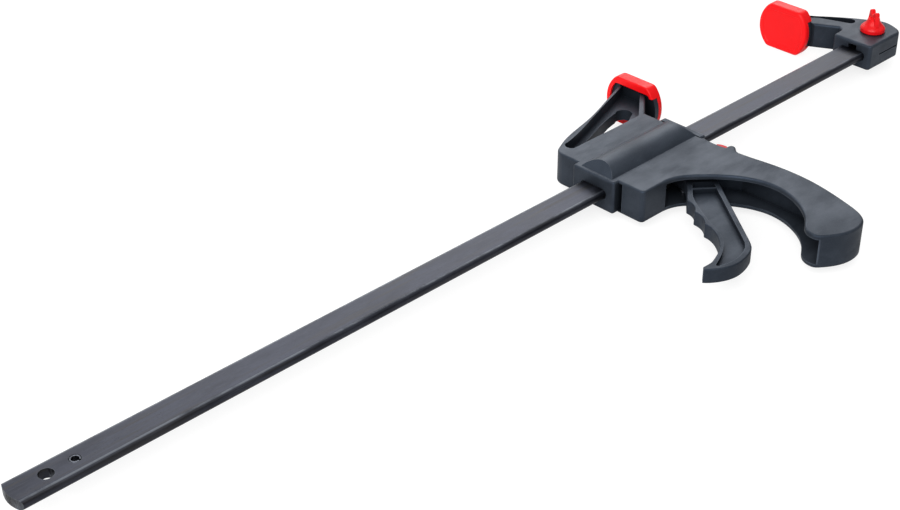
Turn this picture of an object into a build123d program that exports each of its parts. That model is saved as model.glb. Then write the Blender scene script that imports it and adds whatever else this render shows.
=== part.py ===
from build123d import *
import os
from math import cos, radians, sin, tan

# Quick release bar clamp, lying on its side.
# X runs along the bar from its free end to the fixed jaw, +Y is the side of the jaws,
# -Y the side of the grip, Z is across the thickness. All lengths are in millimetres.
# The origin is the centre of the hole in the bar's free end, half way through the bar.

# ---- driving dimensions ---------------------------------------------------------------

# flat steel bar
BAR_LENGTH = 721.4
BAR_WIDTH = 20.0
BAR_THICKNESS = 6.0
BAR_SIDE_FLAT = 0.6           # straight part of each rounded side
BAR_END_BOW = 2.5             # how far each sheared end bows outwards
NEAR_MARGIN = 20.8            # centre of the end hole to the free end
FAR_MARGIN = 18.4             # centre of the locking hole to the end in the fixed jaw

# slotted stop pin in the bar
STOP_PIN_SPACING = 15.9       # from the end hole
STOP_PIN_DIAMETER = 6.4
STOP_PIN_WALL = 1.1
STOP_PIN_SLOT = 1.5
STOP_PIN_DROP = 4.0           # how far it stands below the bar

# sliding head, placed by the front of its nose
HEAD_X = 384.0
HEAD_THICKNESS = 22.0
EDGE_ROUND = 1.4
NOSE_ROUND = 1.6              # upright corners of the nose
CORNER_ROUND = 3.0            # upright corner where the shoulder meets the belly
NOSE_WALL_UP = 3.9            # beside the brake chamber, towards the jaw
NOSE_WALL_DOWN = 3.0          # beside the brake chamber, towards the grip
SHOULDER_SETBACK = 4.4        # body behind the front of the nose
BODY_LENGTH = 83.0            # nose front to the body's back edge
CAP_THICKNESS = 5.0           # end cap behind the body
BELLY = 36.0                  # body's lower edge, from the bar's centre line
BULGE_RADIUS = 16.0
BULGE_RISE = 6.0
BULGE_START = 2.6
GROOVE_WIDTH = 3.0
GROOVE_DEPTH = 5.0
GROOVE_ROOF = 1.4

# jaw arm of the sliding head
JAW_REACH = 57.6              # pad centre from the bar's centre line
ARM_RIM = 2.5
ARM_RIB = 4.2
ARM_WEB = 7.6
ARM_FLOOR = 30.4              # pocket's lower edge
ARM_OVERHANG = 20.3           # back face of the pad plate beyond the body
PLATE_THICKNESS = 3.6
PLATE_RADIUS = 20.0
PLATE_HALF_HEIGHT = 15.2

# clip-on pads
PAD_FACE = 4.3                # rubber in front of the plate
PAD_SKIN = 1.7                # rubber round the edge and behind it
PAD_LIP = 3.2                 # how far the back lip reaches inwards
PAD_ROUND = 1.5
PAD_MOUTH = 20.0              # width of the opening towards the bar, where the pad slips on
PAD_GAP = 0.05

# grip
GRIP_CHANNEL = 16.4           # width of the channel that takes the trigger
GRIP_BACK_WALL = 7.0          # behind the channel

# spring and lever chamber round the bar
CHAMBER_START = 10.0
CHAMBER_GAP = 0.65            # round the drive spring
CHAMBER_STEP_HEIGHT = 0.5     # shoulder between the drive and the brake chamber
CHAMBER_STEP_OFFSET = 2.0     # that shoulder behind the trigger's pivot
BAR_CLEARANCE = 0.35

# trigger, drawn about its pivot
TRIGGER_THICKNESS = 9.6
TRIGGER_WEB = 3.0
TRIGGER_ROUND = 0.8
TRIGGER_RIBS = ((-0.5, -15.5), (-8.0, -19.7))
TRIGGER_RIB_WIDTH = 1.3
FINGER_RIDGES = ((-25.4, -22.4), (-32.6, -33.6), (-39.3, -46.8))
FINGER_WAVE = 2.0             # depth of the scallops between the ridges
RIDGE_ROUND = 1.0
PIVOT_X = 50.0                # from the nose front
PIVOT_Y = -31.0               # from the bar's centre line
PIVOT_DIAMETER = 5.0
PIVOT_CLEARANCE = 0.08
PIVOT_HEAD_DIAMETER = 8.0
PIVOT_HEAD_DEPTH = 1.5
TRIGGER_NOSE_RISE = 12.5      # where the nose pushes the drive plates, above the pivot
PLATE_OFFSET = 4.6            # back of the drive plates ahead of the pivot

# drive plates
DRIVE_PLATE = 2.5
PLATE_CLEARANCE = 0.7         # between the plates and the chamber
PLATE_SLOT_CLEARANCE = 0.25   # between the plates and the bar
DRIVE_LEG_END = -24.0
DRIVE_LEG_WIDTH = 13.0
PLATE_GAP = 0.15

# brake lever and its button
BRAKE_PLATE = 2.5
BRAKE_CANT = 5.0              # degrees from square to the bar
BRAKE_FULCRUM_INSET = 1.0     # pivoting edge inside the chamber wall
BRAKE_LEG_WIDTH = 10.0
BRAKE_TOP_GAP = 0.8
BUTTON_WIDTH = 13.0
BUTTON_PROUD = 9.0            # beyond the body's back edge
BUTTON_TOP = -24.6
BUTTON_HEIGHT = 11.6
BUTTON_FLOOR = 2.6            # plastic beyond the end of the lever's leg

# coil springs round the bar
COIL_CLEARANCE = 0.75         # between the bar's sides and the coils
DRIVE_WIRE = 1.5
DRIVE_COILS = 7
BRAKE_WIRE = 1.3
BRAKE_COILS = 6
COIL_SETBACK = 0.2
SEAT_THICKNESS = 2.0
SEAT_RIM = 1.4                # below the bar's slot, where the seat is cut flat

# rear end cap and its screws
FULCRUM_DEPTH = 2.8           # pad on the cap that the brake lever leans on
FULCRUM_HEIGHT = 1.5          # that pad below the lever's pivoting edge
SCREW_DIAMETER = 2.9
SCREW_LENGTH = 12.0
SCREW_HEAD_DIAMETER = 5.2
SCREW_HEAD_HEIGHT = 1.7
SCREW_RECESS = 0.9
SCREW_OUTSET = 0.3            # screw centres outside the chamber, sideways
SCREW_INSET = 3.1             # screw centres inside the body's faces

# fixed jaw, placed by the axis of its locking screw
FIXED_ROOF = 6.05             # above and below the bar
FIXED_SIDE_WALL = 5.1         # beside the bar
FIXED_FRONT = 23.9            # front face ahead of the screw axis
FIXED_BACK = 20.4             # rear of the head behind the screw axis
FIXED_ROUND = 2.6
KEYWAY_WIDTH = 6.8
KEYWAY_HEIGHT = 3.5
KEYWAY_DEPTH = 13.0
SLIT_START = 12.1
SLIT_LENGTH = 22.4
SLIT_WIDTH = 1.0
STRUT_WEB = 5.0
STRUT_SLOPE = 1.82            # of the strut's front wall
STRUT_SETBACK = 19.1          # back face of the pad plate ahead of the screw axis

# locking screw and wing knob
LOCK_SCREW_DIAMETER = 7.8
LOCK_HOLE_CLEARANCE = 0.2     # round the screw, in the bar
LOCK_BORE_CLEARANCE = 0.25    # round the screw, in the jaw
LOCK_DEPTH = 2.4              # screw tip below the bar's mid-plane
NUT_WIDTH = 13.0
NUT_THICKNESS = 3.6
THREAD_CLEARANCE = 0.1
NUT_ROOF = 1.2
NUT_GAP = 0.15
WASHER_DIAMETER = 15.0
WASHER_THICKNESS = 0.8
WASHER_GAP = 0.1
KNOB_GAP = 0.15               # between the knob and the head
KNOB_RADIUS = 8.75
KNOB_SKIRT = 2.6
BELL_HEIGHT = 9.6
KNOB_HEIGHT = 15.2
WING_LENGTH = 11.4            # across the two tips
WING_THICKNESS = 3.5
WING_DIP = 2.4                # between the tips
WING_ROUND = 0.8
WING_TURN = 57.0              # degrees from the bar

# ---- places that follow from them -----------------------------------------------------

BAR_EDGE_RADIUS = (BAR_THICKNESS - BAR_SIDE_FLAT) / 2
NEAR_END_X = -NEAR_MARGIN
FAR_END_X = BAR_LENGTH - NEAR_MARGIN
FAR_HOLE_X = FAR_END_X - FAR_MARGIN
HEAD_HALF = HEAD_THICKNESS / 2
CHANNEL_HALF = GRIP_CHANNEL / 2
PAD_DEPTH = PAD_FACE + PLATE_THICKNESS + PAD_SKIN
NOSE_LENGTH = BODY_LENGTH + CAP_THICKNESS
PLATE_BACK = BODY_LENGTH + ARM_OVERHANG
GRIP_WALL_X = BODY_LENGTH - GRIP_BACK_WALL
COIL_INNER_RADIUS = BAR_WIDTH / 2 + COIL_CLEARANCE
DRIVE_CHAMBER_RADIUS = COIL_INNER_RADIUS + DRIVE_WIRE + CHAMBER_GAP
BRAKE_CHAMBER_RADIUS = DRIVE_CHAMBER_RADIUS + CHAMBER_STEP_HEIGHT
CHAMBER_STEP = PIVOT_X + CHAMBER_STEP_OFFSET
NOSE_UP = BRAKE_CHAMBER_RADIUS + NOSE_WALL_UP
NOSE_DOWN = BRAKE_CHAMBER_RADIUS + NOSE_WALL_DOWN
DRIVE_PLATE_RADIUS = DRIVE_CHAMBER_RADIUS - PLATE_CLEARANCE
DRIVE_PLATE_BACK = PIVOT_X - PLATE_OFFSET
BRAKE_FULCRUM_X = BODY_LENGTH - FULCRUM_DEPTH - BRAKE_PLATE - PLATE_GAP
BRAKE_FULCRUM_Y = BRAKE_CHAMBER_RADIUS - BRAKE_FULCRUM_INSET
BUTTON_BOTTOM = BUTTON_TOP - BUTTON_HEIGHT
BRAKE_LEG_END = BUTTON_BOTTOM + BUTTON_FLOOR
SCREW_Y = BRAKE_CHAMBER_RADIUS + SCREW_OUTSET
SCREW_Z = HEAD_HALF - SCREW_INSET
FIXED_HALF = BAR_THICKNESS / 2 + BAR_CLEARANCE + FIXED_ROOF
FIXED_THICKNESS = 2 * FIXED_HALF
FIXED_HALF_WIDTH = BAR_WIDTH / 2 + FIXED_SIDE_WALL
FIXED_PLATE_BACK = FAR_HOLE_X - STRUT_SETBACK
KNOB_BASE = FIXED_HALF + KNOB_GAP
BRAKE_SIN = sin(radians(BRAKE_CANT))
BRAKE_COS = cos(radians(BRAKE_CANT))


# ---- shared helpers -------------------------------------------------------------------

def slab(face, half_height):
    """A face in the XY plane thickened the same amount up and down."""
    return extrude(face, amount=half_height, both=True)


def polygon(*points):
    """A flat face with straight sides."""
    return make_face(Polyline(*points, close=True))


def block(x0, x1, y0, y1, z0, z1):
    """A box between two corners."""
    return Pos((x0 + x1) / 2, (y0 + y1) / 2, (z0 + z1) / 2) * Box(x1 - x0, y1 - y0, z1 - z0)


def rod_x(radius, x0, x1):
    """A round bar along X on the centre line."""
    return Pos((x0 + x1) / 2, 0, 0) * Rot(0, 90, 0) * Cylinder(radius, x1 - x0)


def rod_z(radius, x, y, z0, z1):
    """A round bar along Z."""
    return Pos(x, y, (z0 + z1) / 2) * Cylinder(radius, z1 - z0)


def bar_section(clearance):
    """The bar's rounded cross-section in the YZ plane, grown by a clearance."""
    width = BAR_WIDTH + 2 * clearance
    height = BAR_THICKNESS + 2 * clearance
    return Plane.YZ * RectangleRounded(width, height, BAR_EDGE_RADIUS + clearance)


def bar_slot(x0, x1, clearance=BAR_CLEARANCE):
    """The space that the bar needs between two places along it."""
    return Pos(x0, 0, 0) * extrude(bar_section(clearance), amount=x1 - x0)


def coil(inner_radius, wire, turns, x0, x1):
    """A round-wire compression spring about the X axis, built as closed rings and risers."""
    mean = inner_radius + wire / 2
    length = x1 - x0 - wire
    path = Helix(pitch=length / turns, height=length, radius=mean)
    section = Plane(origin=path @ 0, z_dir=path % 0) * Circle(wire / 2)
    spring = sweep(section, path=path)
    return Pos(x0 + wire / 2, 0, 0) * Rot(0, 90, 0) * spring


def flat_edges(solid, z, tolerance=0.01):
    """Edges that lie in one horizontal plane."""
    return [e for e in solid.edges()
            if abs(e.bounding_box().min.Z - z) < tolerance and abs(e.bounding_box().max.Z - z) < tolerance]


# ---- bar ------------------------------------------------------------------------------

def make_bar():
    x0 = NEAR_END_X
    x1 = FAR_END_X
    half = BAR_WIDTH / 2
    shape = Pos(x0, 0, 0) * extrude(bar_section(0), amount=BAR_LENGTH)
    start = ThreePointArc((x0 + BAR_END_BOW, -half), (x0, 0), (x0 + BAR_END_BOW, half))
    end = ThreePointArc((x1 - BAR_END_BOW, half), (x1, 0), (x1 - BAR_END_BOW, -half))
    sides = [Line(start @ 1, end @ 0), Line(end @ 1, start @ 0)]
    shape &= slab(make_face(Wire([start, sides[0], end, sides[1]])), BAR_THICKNESS)
    reach = BAR_THICKNESS
    for x in (0, FAR_HOLE_X):
        shape -= rod_z(LOCK_SCREW_DIAMETER / 2 + LOCK_HOLE_CLEARANCE, x, 0, -reach, reach)
    shape -= rod_z(STOP_PIN_DIAMETER / 2, STOP_PIN_SPACING, 0, -reach, reach)
    return shape


def make_stop_roll_pin():
    top = BAR_THICKNESS / 2
    bottom = -top - STOP_PIN_DROP
    outer = STOP_PIN_DIAMETER / 2
    pin = rod_z(outer, 0, 0, bottom, top)
    pin -= rod_z(outer - STOP_PIN_WALL, 0, 0, bottom - 1, top + 1)
    slot = block(0, outer + 1, -STOP_PIN_SLOT / 2, STOP_PIN_SLOT / 2, bottom - 1, top + 1)
    pin -= Rot(0, 0, -62) * slot
    return Pos(STOP_PIN_SPACING, 0, 0) * pin


# ---- sliding head ---------------------------------------------------------------------

def arm_back_line():
    """Back of the jaw arm, from the shoulder to the pad plate."""
    heel = JernArc((SHOULDER_SETBACK, 30.0), (0, 1), 9.0, -65)
    back = Spline(heel @ 1, (17.5, 41.8), (47.5, 50.0), (PLATE_BACK, JAW_REACH + 11.7),
                  tangents=[heel % 1, (1.0, 0.34)])
    return heel, back


def button_scoop():
    """Hollow in the back edge round the button, with a lump below that guards it."""
    back = BODY_LENGTH
    low = BUTTON_BOTTOM + 1.0
    shelf = Line((back, -NOSE_DOWN - 0.6), (back + 1.4, -NOSE_DOWN - 0.6))
    hollow = ThreePointArc(shelf @ 1, (back + 0.2, BUTTON_TOP - 3.4), (back + 1.0, low))
    step = Line(hollow @ 1, (back + 3.6, low))
    lump = JernArc(step @ 1, step % 1, 2.6, -135)
    slope = Line(lump @ 1, lump @ 1 + lump % 1 * 3.4)
    root = JernArc(slope @ 1, slope % 1, 5.0, 50)
    return [shelf, hollow, step, lump, slope, root]


def body_outline():
    """The one-piece moulding seen from above: nose, body, jaw arm and grip."""
    heel, arm = arm_back_line()
    scoop = button_scoop()
    front = Polyline(arm @ 1, (PLATE_BACK, JAW_REACH - 10.6), (BODY_LENGTH, ARM_FLOOR - 0.4), scoop[0] @ 0)
    back = BODY_LENGTH
    spine = Spline(scoop[-1] @ 1, (back + 4.6, -68.0), (back + 5.3, -92.0), (back - 1.9, -127.5),
                   (back - 12.5, -146.0), (back - 23.0, -148.1), (back - 33.0, -145.8),
                   (back - 42.6, -139.8), (back - 45.6, -133.8), tangents=[scoop[-1] % 1, (0.05, 1.0)])
    palm = Spline(spine @ 1, (back - 35.5, -121.5), (back - 22.5, -107.0), (back - 16.2, -84.0),
                  (back - 25.5, -60.0), (back - 40.5, -44.3), (PIVOT_X - 28.0, -BELLY),
                  tangents=[spine % 1, (-1.0, 0.0)])
    belly = Line(palm @ 1, (SHOULDER_SETBACK + CORNER_ROUND, -BELLY))
    corner = JernArc(belly @ 1, belly % 1, CORNER_ROUND, -90)
    closing = Line(corner @ 1, heel @ 0)
    edges = [heel, arm] + front.edges() + scoop + [spine, palm, belly, corner, closing]
    return make_face(Wire(edges))


def nose_block():
    nose = block(0, BODY_LENGTH, -NOSE_DOWN, NOSE_UP, -HEAD_HALF, HEAD_HALF)
    return fillet([e for e in nose.edges().filter_by(Axis.Z) if e.center().X < 1], NOSE_ROUND)


def bulge():
    """Low barrel over and under the bar, with slanted half-moon ends."""
    top = HEAD_HALF + BULGE_RISE
    root = HEAD_HALF / 2
    barrel = Pos(0, 0, top - BULGE_RADIUS) * rod_x(BULGE_RADIUS, BULGE_START, BODY_LENGTH)
    profile = polygon((BULGE_START, root), (BULGE_START, HEAD_HALF), (BULGE_START + BULGE_RISE, top),
                      (BODY_LENGTH - BULGE_RISE, top), (BODY_LENGTH, HEAD_HALF), (BODY_LENGTH, root))
    upper = barrel & extrude(Plane.XZ * profile, amount=BULGE_RADIUS, both=True)
    return upper + mirror(upper, about=Plane.XY)


def arm_pocket():
    """Recess between the arm's rim, its front rib and the body."""
    heel, back = arm_back_line()
    low = ARM_FLOOR
    rib_x = BODY_LENGTH - ARM_RIB * 1.35
    near = ThreePointArc((15.6, low), (13.2, 34.2), (18.4, 38.6))
    top = Spline(near @ 1, (47.5, 47.4), (PLATE_BACK, JAW_REACH + 11.7 - ARM_RIM),
                 tangents=[(1.0, 0.2), (1.0, 0.34)])
    right = Polyline(top @ 1, (PLATE_BACK, JAW_REACH - 10.4 + ARM_RIB * 1.0), (rib_x, low), near @ 0)
    return make_face(Wire([near, top] + right.edges()))


def arm_window():
    """Teardrop opening right through the web of the arm."""
    low = Polyline((87.0, 43.6), (74.0, 37.2), (62.0, 34.6), (40.0, 34.4))
    left = ThreePointArc(low @ 1, (36.6, 37.0), (39.0, 40.2))
    top = Spline(left @ 1, (60.0, 47.4), (80.0, 52.4), tangents=[(1.0, 0.3), (1.0, 0.18)])
    right = ThreePointArc(top @ 1, (88.6, 49.6), low @ 0)
    return make_face(Wire(low.edges() + [left, top, right]))


def disc_outline(radius, half_height, x):
    """Round disc with flats above and below, standing across the bar at x."""
    disc = Plane.YZ * (Pos(JAW_REACH, 0) * Circle(radius))
    flats = Plane.YZ * (Pos(JAW_REACH, 0) * Rectangle(4 * radius, 2 * half_height))
    return Pos(x, 0, 0) * (disc & flats)


def pad_plate(x0):
    return extrude(disc_outline(PLATE_RADIUS, PLATE_HALF_HEIGHT, x0), amount=PLATE_THICKNESS)


def grip_channel():
    """Channel of the grip, open on the finger side, and the way up into the chamber."""
    wall = GRIP_WALL_X
    front = PIVOT_X - 20.0
    floor = Spline((wall, -92.0), (wall - 2.8, -112.0), (wall - 10.0, -130.0), (wall - 20.4, -140.6),
                   tangents=[(0, -1.0), (-0.85, -0.5)])
    end = Polyline(floor @ 1, (wall - 28.0, -142.6), (wall - 37.6, -137.9), (wall - 46.0, -130.0),
                   (wall - 56.0, -120.0), (front - 10.0, -40.0), (front - 4.5, -BELLY - 2),
                   (front - 4.5, -BELLY + 1.5), (front, -BELLY + 6), (front, -9.0), (PIVOT_X + 12.0, -9.0),
                   (PIVOT_X + 12.0, -20.0), (PIVOT_X + 16.0, -28.0), (PIVOT_X + 16.0, -40.0),
                   (wall, -56.0), floor @ 0)
    return slab(make_face(Wire([floor] + end.edges())), CHANNEL_HALF)


def chamber():
    """Room round the bar for the springs, plates and brake lever."""
    room = rod_x(DRIVE_CHAMBER_RADIUS, CHAMBER_START, CHAMBER_STEP + 0.1)
    room += rod_x(BRAKE_CHAMBER_RADIUS, CHAMBER_STEP, NOSE_LENGTH)
    half = BRAKE_LEG_WIDTH / 2 + 0.6
    room += block(BRAKE_FULCRUM_X - 5.2, BODY_LENGTH + 1, BUTTON_BOTTOM + 0.4, 0, -half, half)
    half = BUTTON_WIDTH / 2 + 0.4
    room += block(BRAKE_FULCRUM_X - 5.2, BODY_LENGTH + 8, BUTTON_BOTTOM - 0.1, BUTTON_TOP + 0.7, -half, half)
    return room


def screw_places():
    return ((SCREW_Y, SCREW_Z), (-SCREW_Y + 0.9, -SCREW_Z))


def make_sliding_body():
    body = slab(body_outline(), HEAD_HALF)
    body += nose_block()
    for z in (HEAD_HALF, -HEAD_HALF):
        body = fillet(flat_edges(body, z), EDGE_ROUND)
    body += bulge()
    pocket = extrude(arm_pocket(), amount=HEAD_THICKNESS)
    for side in (1, -1):
        floor = side * ARM_WEB / 2
        body -= Pos(0, 0, floor if side > 0 else floor - HEAD_THICKNESS) * pocket
    body -= slab(arm_window(), HEAD_HALF)
    body += pad_plate(PLATE_BACK)
    body -= grip_channel()
    body -= chamber()
    body -= bar_slot(-1, CHAMBER_START + 1)
    body -= block(-1, SHOULDER_SETBACK + GROOVE_DEPTH, -NOSE_DOWN - GROOVE_WIDTH, -NOSE_DOWN,
                  -HEAD_HALF + GROOVE_ROOF, HEAD_HALF - GROOVE_ROOF)
    body -= rod_z(PIVOT_DIAMETER / 2, PIVOT_X, PIVOT_Y, -HEAD_HALF - 1, HEAD_HALF - 1.0)
    body -= rod_z(PIVOT_HEAD_DIAMETER / 2, PIVOT_X, PIVOT_Y, -HEAD_HALF - 1, -HEAD_HALF + PIVOT_HEAD_DEPTH)
    for y, z in screw_places():
        length = SCREW_LENGTH - CAP_THICKNESS + SCREW_RECESS + SCREW_HEAD_HEIGHT
        hole = Rot(0, 90, 0) * Cylinder(SCREW_DIAMETER / 2, 2 * length)
        body -= Pos(BODY_LENGTH, y, z) * hole
    return Pos(HEAD_X, 0, 0) * body


def make_rear_end_cap():
    """Closes the chamber and guides the bar at the back of the nose."""
    x0 = BODY_LENGTH
    cap = block(x0, NOSE_LENGTH, -NOSE_DOWN, NOSE_UP, -HEAD_HALF, HEAD_HALF)
    rim = [e for e in cap.edges() if e.center().X > x0 + 0.1]
    cap = fillet(rim, EDGE_ROUND)
    pad = rod_x(BRAKE_CHAMBER_RADIUS - 0.1, x0 - FULCRUM_DEPTH, x0)
    low = BRAKE_FULCRUM_Y - FULCRUM_HEIGHT
    cap += pad & block(x0 - FULCRUM_DEPTH, x0, low, BRAKE_CHAMBER_RADIUS, -HEAD_HALF, HEAD_HALF)
    cap -= bar_slot(x0 - 1, NOSE_LENGTH + 1)
    for y, z in screw_places():
        cap -= Pos(NOSE_LENGTH, y, z) * Rot(0, 90, 0) * Cylinder(SCREW_DIAMETER / 2, 3 * CAP_THICKNESS)
        depth = SCREW_RECESS + SCREW_HEAD_HEIGHT
        cap -= Pos(NOSE_LENGTH - depth / 2 + 0.5, y, z) * Rot(0, 90, 0) * Cylinder(
            SCREW_HEAD_DIAMETER / 2 + 0.15, depth + 1)
    return Pos(HEAD_X, 0, 0) * cap


def make_end_cap_screws():
    """Two pan-head screws with cross recesses."""
    screws = []
    head_top = NOSE_LENGTH - SCREW_RECESS
    for y, z in screw_places():
        head = Cylinder(SCREW_HEAD_DIAMETER / 2, SCREW_HEAD_HEIGHT)
        head = fillet(head.faces().sort_by(Axis.Z)[-1].edges(), SCREW_HEAD_HEIGHT * 0.4)
        for turn in (0, 90):
            head -= Pos(0, 0, SCREW_HEAD_HEIGHT / 2) * Rot(0, 0, turn) * Box(2.8, 0.7, 1.6)
        shank = Pos(0, 0, -(SCREW_LENGTH + SCREW_HEAD_HEIGHT) / 2) * Cylinder(SCREW_DIAMETER / 2, SCREW_LENGTH)
        screw = head + shank
        screws.append(Pos(HEAD_X + head_top - SCREW_HEAD_HEIGHT / 2, y, z) * Rot(0, 90, 0) * screw)
    return Compound(screws)


def make_pad():
    """Rubber pad facing +X that slips over a plate from the tip side; plate back at x = 0. The plate's
    edge stays bare towards the bar."""
    radius = PLATE_RADIUS + PAD_SKIN
    half_height = PLATE_HALF_HEIGHT + PAD_SKIN
    pad = extrude(disc_outline(radius, half_height, -PAD_SKIN), amount=PAD_DEPTH)
    bare = JAW_REACH - PLATE_RADIUS - PAD_GAP
    pad -= block(-2 * PAD_SKIN, PAD_DEPTH, bare - 2 * PAD_SKIN, bare, -half_height, half_height)
    front = [e for e in pad.edges() if e.center().X > PAD_DEPTH - PAD_SKIN - 0.1]
    pad = fillet(front, PAD_ROUND)
    pad = fillet([e for e in pad.edges() if e.bounding_box().max.X < -PAD_SKIN + 0.01], PAD_SKIN * 0.5)
    seat = extrude(disc_outline(PLATE_RADIUS + PAD_GAP, PLATE_HALF_HEIGHT + PAD_GAP, -PAD_GAP),
                   amount=PLATE_THICKNESS + 2 * PAD_GAP)
    pad -= seat
    mouth = extrude(disc_outline(PLATE_RADIUS - PAD_LIP + PAD_SKIN, PLATE_HALF_HEIGHT - PAD_LIP,
                                 -2 * PAD_SKIN), amount=3 * PAD_SKIN)
    pad -= mouth
    half_mouth = PAD_MOUTH / 2
    pad -= block(-2 * PAD_SKIN, PLATE_THICKNESS + PAD_GAP, 0, JAW_REACH - half_mouth, -half_mouth, half_mouth)
    return pad


def make_moving_pad():
    return Pos(HEAD_X + PLATE_BACK, 0, 0) * make_pad()


def make_fixed_pad():
    return Pos(FIXED_PLATE_BACK, 0, 0) * mirror(make_pad(), about=Plane.YZ)


# ---- trigger --------------------------------------------------------------------------

def finger_wave(start, end):
    """Scalloped stretch of the trigger's front between two finger ridges."""
    middle = (Vector(*start) + Vector(*end)) / 2
    along = (Vector(*end) - Vector(*start)).normalized()
    return ThreePointArc(start, middle + Vector(-along.Y, along.X) * FINGER_WAVE, end)


def trigger_outline():
    """Lever with finger ridges in front, a straight back and a hooked end."""
    nose_x = PLATE_GAP - PLATE_OFFSET
    front = Line((-12.5, -11.6), FINGER_RIDGES[0])
    waves = [finger_wave(start, end) for start, end in zip(FINGER_RIDGES, FINGER_RIDGES[1:])]
    reach = Spline(waves[-1] @ 1, (-41.4, -55.5), (-46.0, -62.2), (-56.6, -70.6), (-65.8, -74.2), (-75.6, -74.8),
                   tangents=[(0.1, -1.0), (-1.0, 0.06)])
    hook = Line(reach @ 1, (-77.8, -76.6))
    sole = Spline(hook @ 1, (-72.8, -81.2), (-58.0, -86.4), (-44.0, -83.6), (-33.0, -73.6),
                  tangents=[(0.62, -0.78), (0.597, 0.802)])
    back = Line(sole @ 1, (6.4, -20.6))
    head = Spline(back @ 1, (8.4, -15.0), (7.6, 1.0), (2.4, 14.0), tangents=[(0.597, 0.802), (-0.7, 0.7)])
    push = ThreePointArc(head @ 1, (nose_x + 3.4, TRIGGER_NOSE_RISE + 4.1), (nose_x, TRIGGER_NOSE_RISE))
    throat = Spline(push @ 1, (nose_x + 0.6, 6.0), (-7.6, -6.0), front @ 0,
                    tangents=[(0.05, -1.0), front % 0])
    return make_face(Wire([front] + waves + [reach, hook, sole, back, head, push, throat]))


def trigger_recess():
    """Sunk field inside the trigger's rim."""
    front = Polyline((-4.0, -10.6), (-8.6, -12.6), (-19.4, -21.8), (-22.8, -26.4))
    inner = Spline(front @ 1, (-29.4, -36.6), (-36.0, -49.0), (-41.4, -60.2), (-54.0, -71.8), (-68.6, -78.2),
                   tangents=[(-0.6, -0.8), (-0.95, -0.3)])
    end = ThreePointArc(inner @ 1, (-69.4, -79.6), (-67.6, -80.6))
    sole = Spline(end @ 1, (-56.0, -82.6), (-44.0, -79.4), (-35.8, -71.8), tangents=[(0.9, -0.4), (0.597, 0.802)])
    back = Polyline(sole @ 1, (3.4, -19.0), (4.6, -14.2), front @ 0)
    return make_face(Wire(front.edges() + [inner, end, sole] + back.edges()))


def make_trigger():
    half = TRIGGER_THICKNESS / 2
    field = slab(trigger_recess(), half + 1) - slab(trigger_recess(), TRIGGER_WEB / 2)
    for x, y in TRIGGER_RIBS:
        field -= Pos(x, y, 0) * Rot(0, 0, -39) * Box(30, TRIGGER_RIB_WIDTH, 3 * half)
    lever = slab(trigger_outline(), half)
    ridges = [e for e in lever.edges().filter_by(Axis.Z)
              if any(abs(e.center().X - x) + abs(e.center().Y - y) < 0.1 for x, y in FINGER_RIDGES)]
    lever = fillet(ridges, RIDGE_ROUND) - field
    faces = lever.faces().sort_by(Axis.Z)
    rim = faces[-1].outer_wire().edges() + faces[0].outer_wire().edges()
    lever = fillet(rim, TRIGGER_ROUND)
    lever -= rod_z(PIVOT_DIAMETER / 2 + PIVOT_CLEARANCE, 0, 0, -half - 1, half + 1)
    return Pos(HEAD_X + PIVOT_X, PIVOT_Y, 0) * lever


def make_trigger_pivot_pin():
    pin = rod_z(PIVOT_DIAMETER / 2, PIVOT_X, PIVOT_Y, -HEAD_HALF + 0.3, HEAD_HALF - 1.3)
    pin += rod_z(PIVOT_HEAD_DIAMETER / 2 - 0.1, PIVOT_X, PIVOT_Y, -HEAD_HALF + 0.3,
                 -HEAD_HALF + PIVOT_HEAD_DEPTH)
    return Pos(HEAD_X, 0, 0) * pin


# ---- drive ----------------------------------------------------------------------------

def drive_plate(x0):
    """Hardened plate round the bar with a leg for the trigger's nose."""
    disc = Plane.YZ * Circle(DRIVE_PLATE_RADIUS)
    leg = Plane.YZ * (Pos(DRIVE_LEG_END / 2, 0) * Rectangle(-DRIVE_LEG_END, DRIVE_LEG_WIDTH))
    plate = Pos(x0, 0, 0) * extrude(disc + leg, amount=DRIVE_PLATE)
    return plate - bar_slot(x0 - 1, x0 + DRIVE_PLATE + 1, PLATE_SLOT_CLEARANCE)


def make_drive_plate_rear():
    return Pos(HEAD_X, 0, 0) * drive_plate(DRIVE_PLATE_BACK - DRIVE_PLATE)


def make_drive_plate_front():
    return Pos(HEAD_X, 0, 0) * drive_plate(DRIVE_PLATE_BACK - 2 * DRIVE_PLATE - PLATE_GAP)


def make_drive_spring():
    end = DRIVE_PLATE_BACK - 2 * DRIVE_PLATE - PLATE_GAP
    return Pos(HEAD_X, 0, 0) * coil(COIL_INNER_RADIUS, DRIVE_WIRE, DRIVE_COILS,
                                    CHAMBER_START + COIL_SETBACK, end - COIL_SETBACK)


# ---- brake ----------------------------------------------------------------------------

def cant(shape):
    """Turns a piece drawn square to the bar to the brake lever's resting angle."""
    return Pos(BRAKE_FULCRUM_X, BRAKE_FULCRUM_Y, 0) * Rot(0, 0, BRAKE_CANT) * shape


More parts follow.
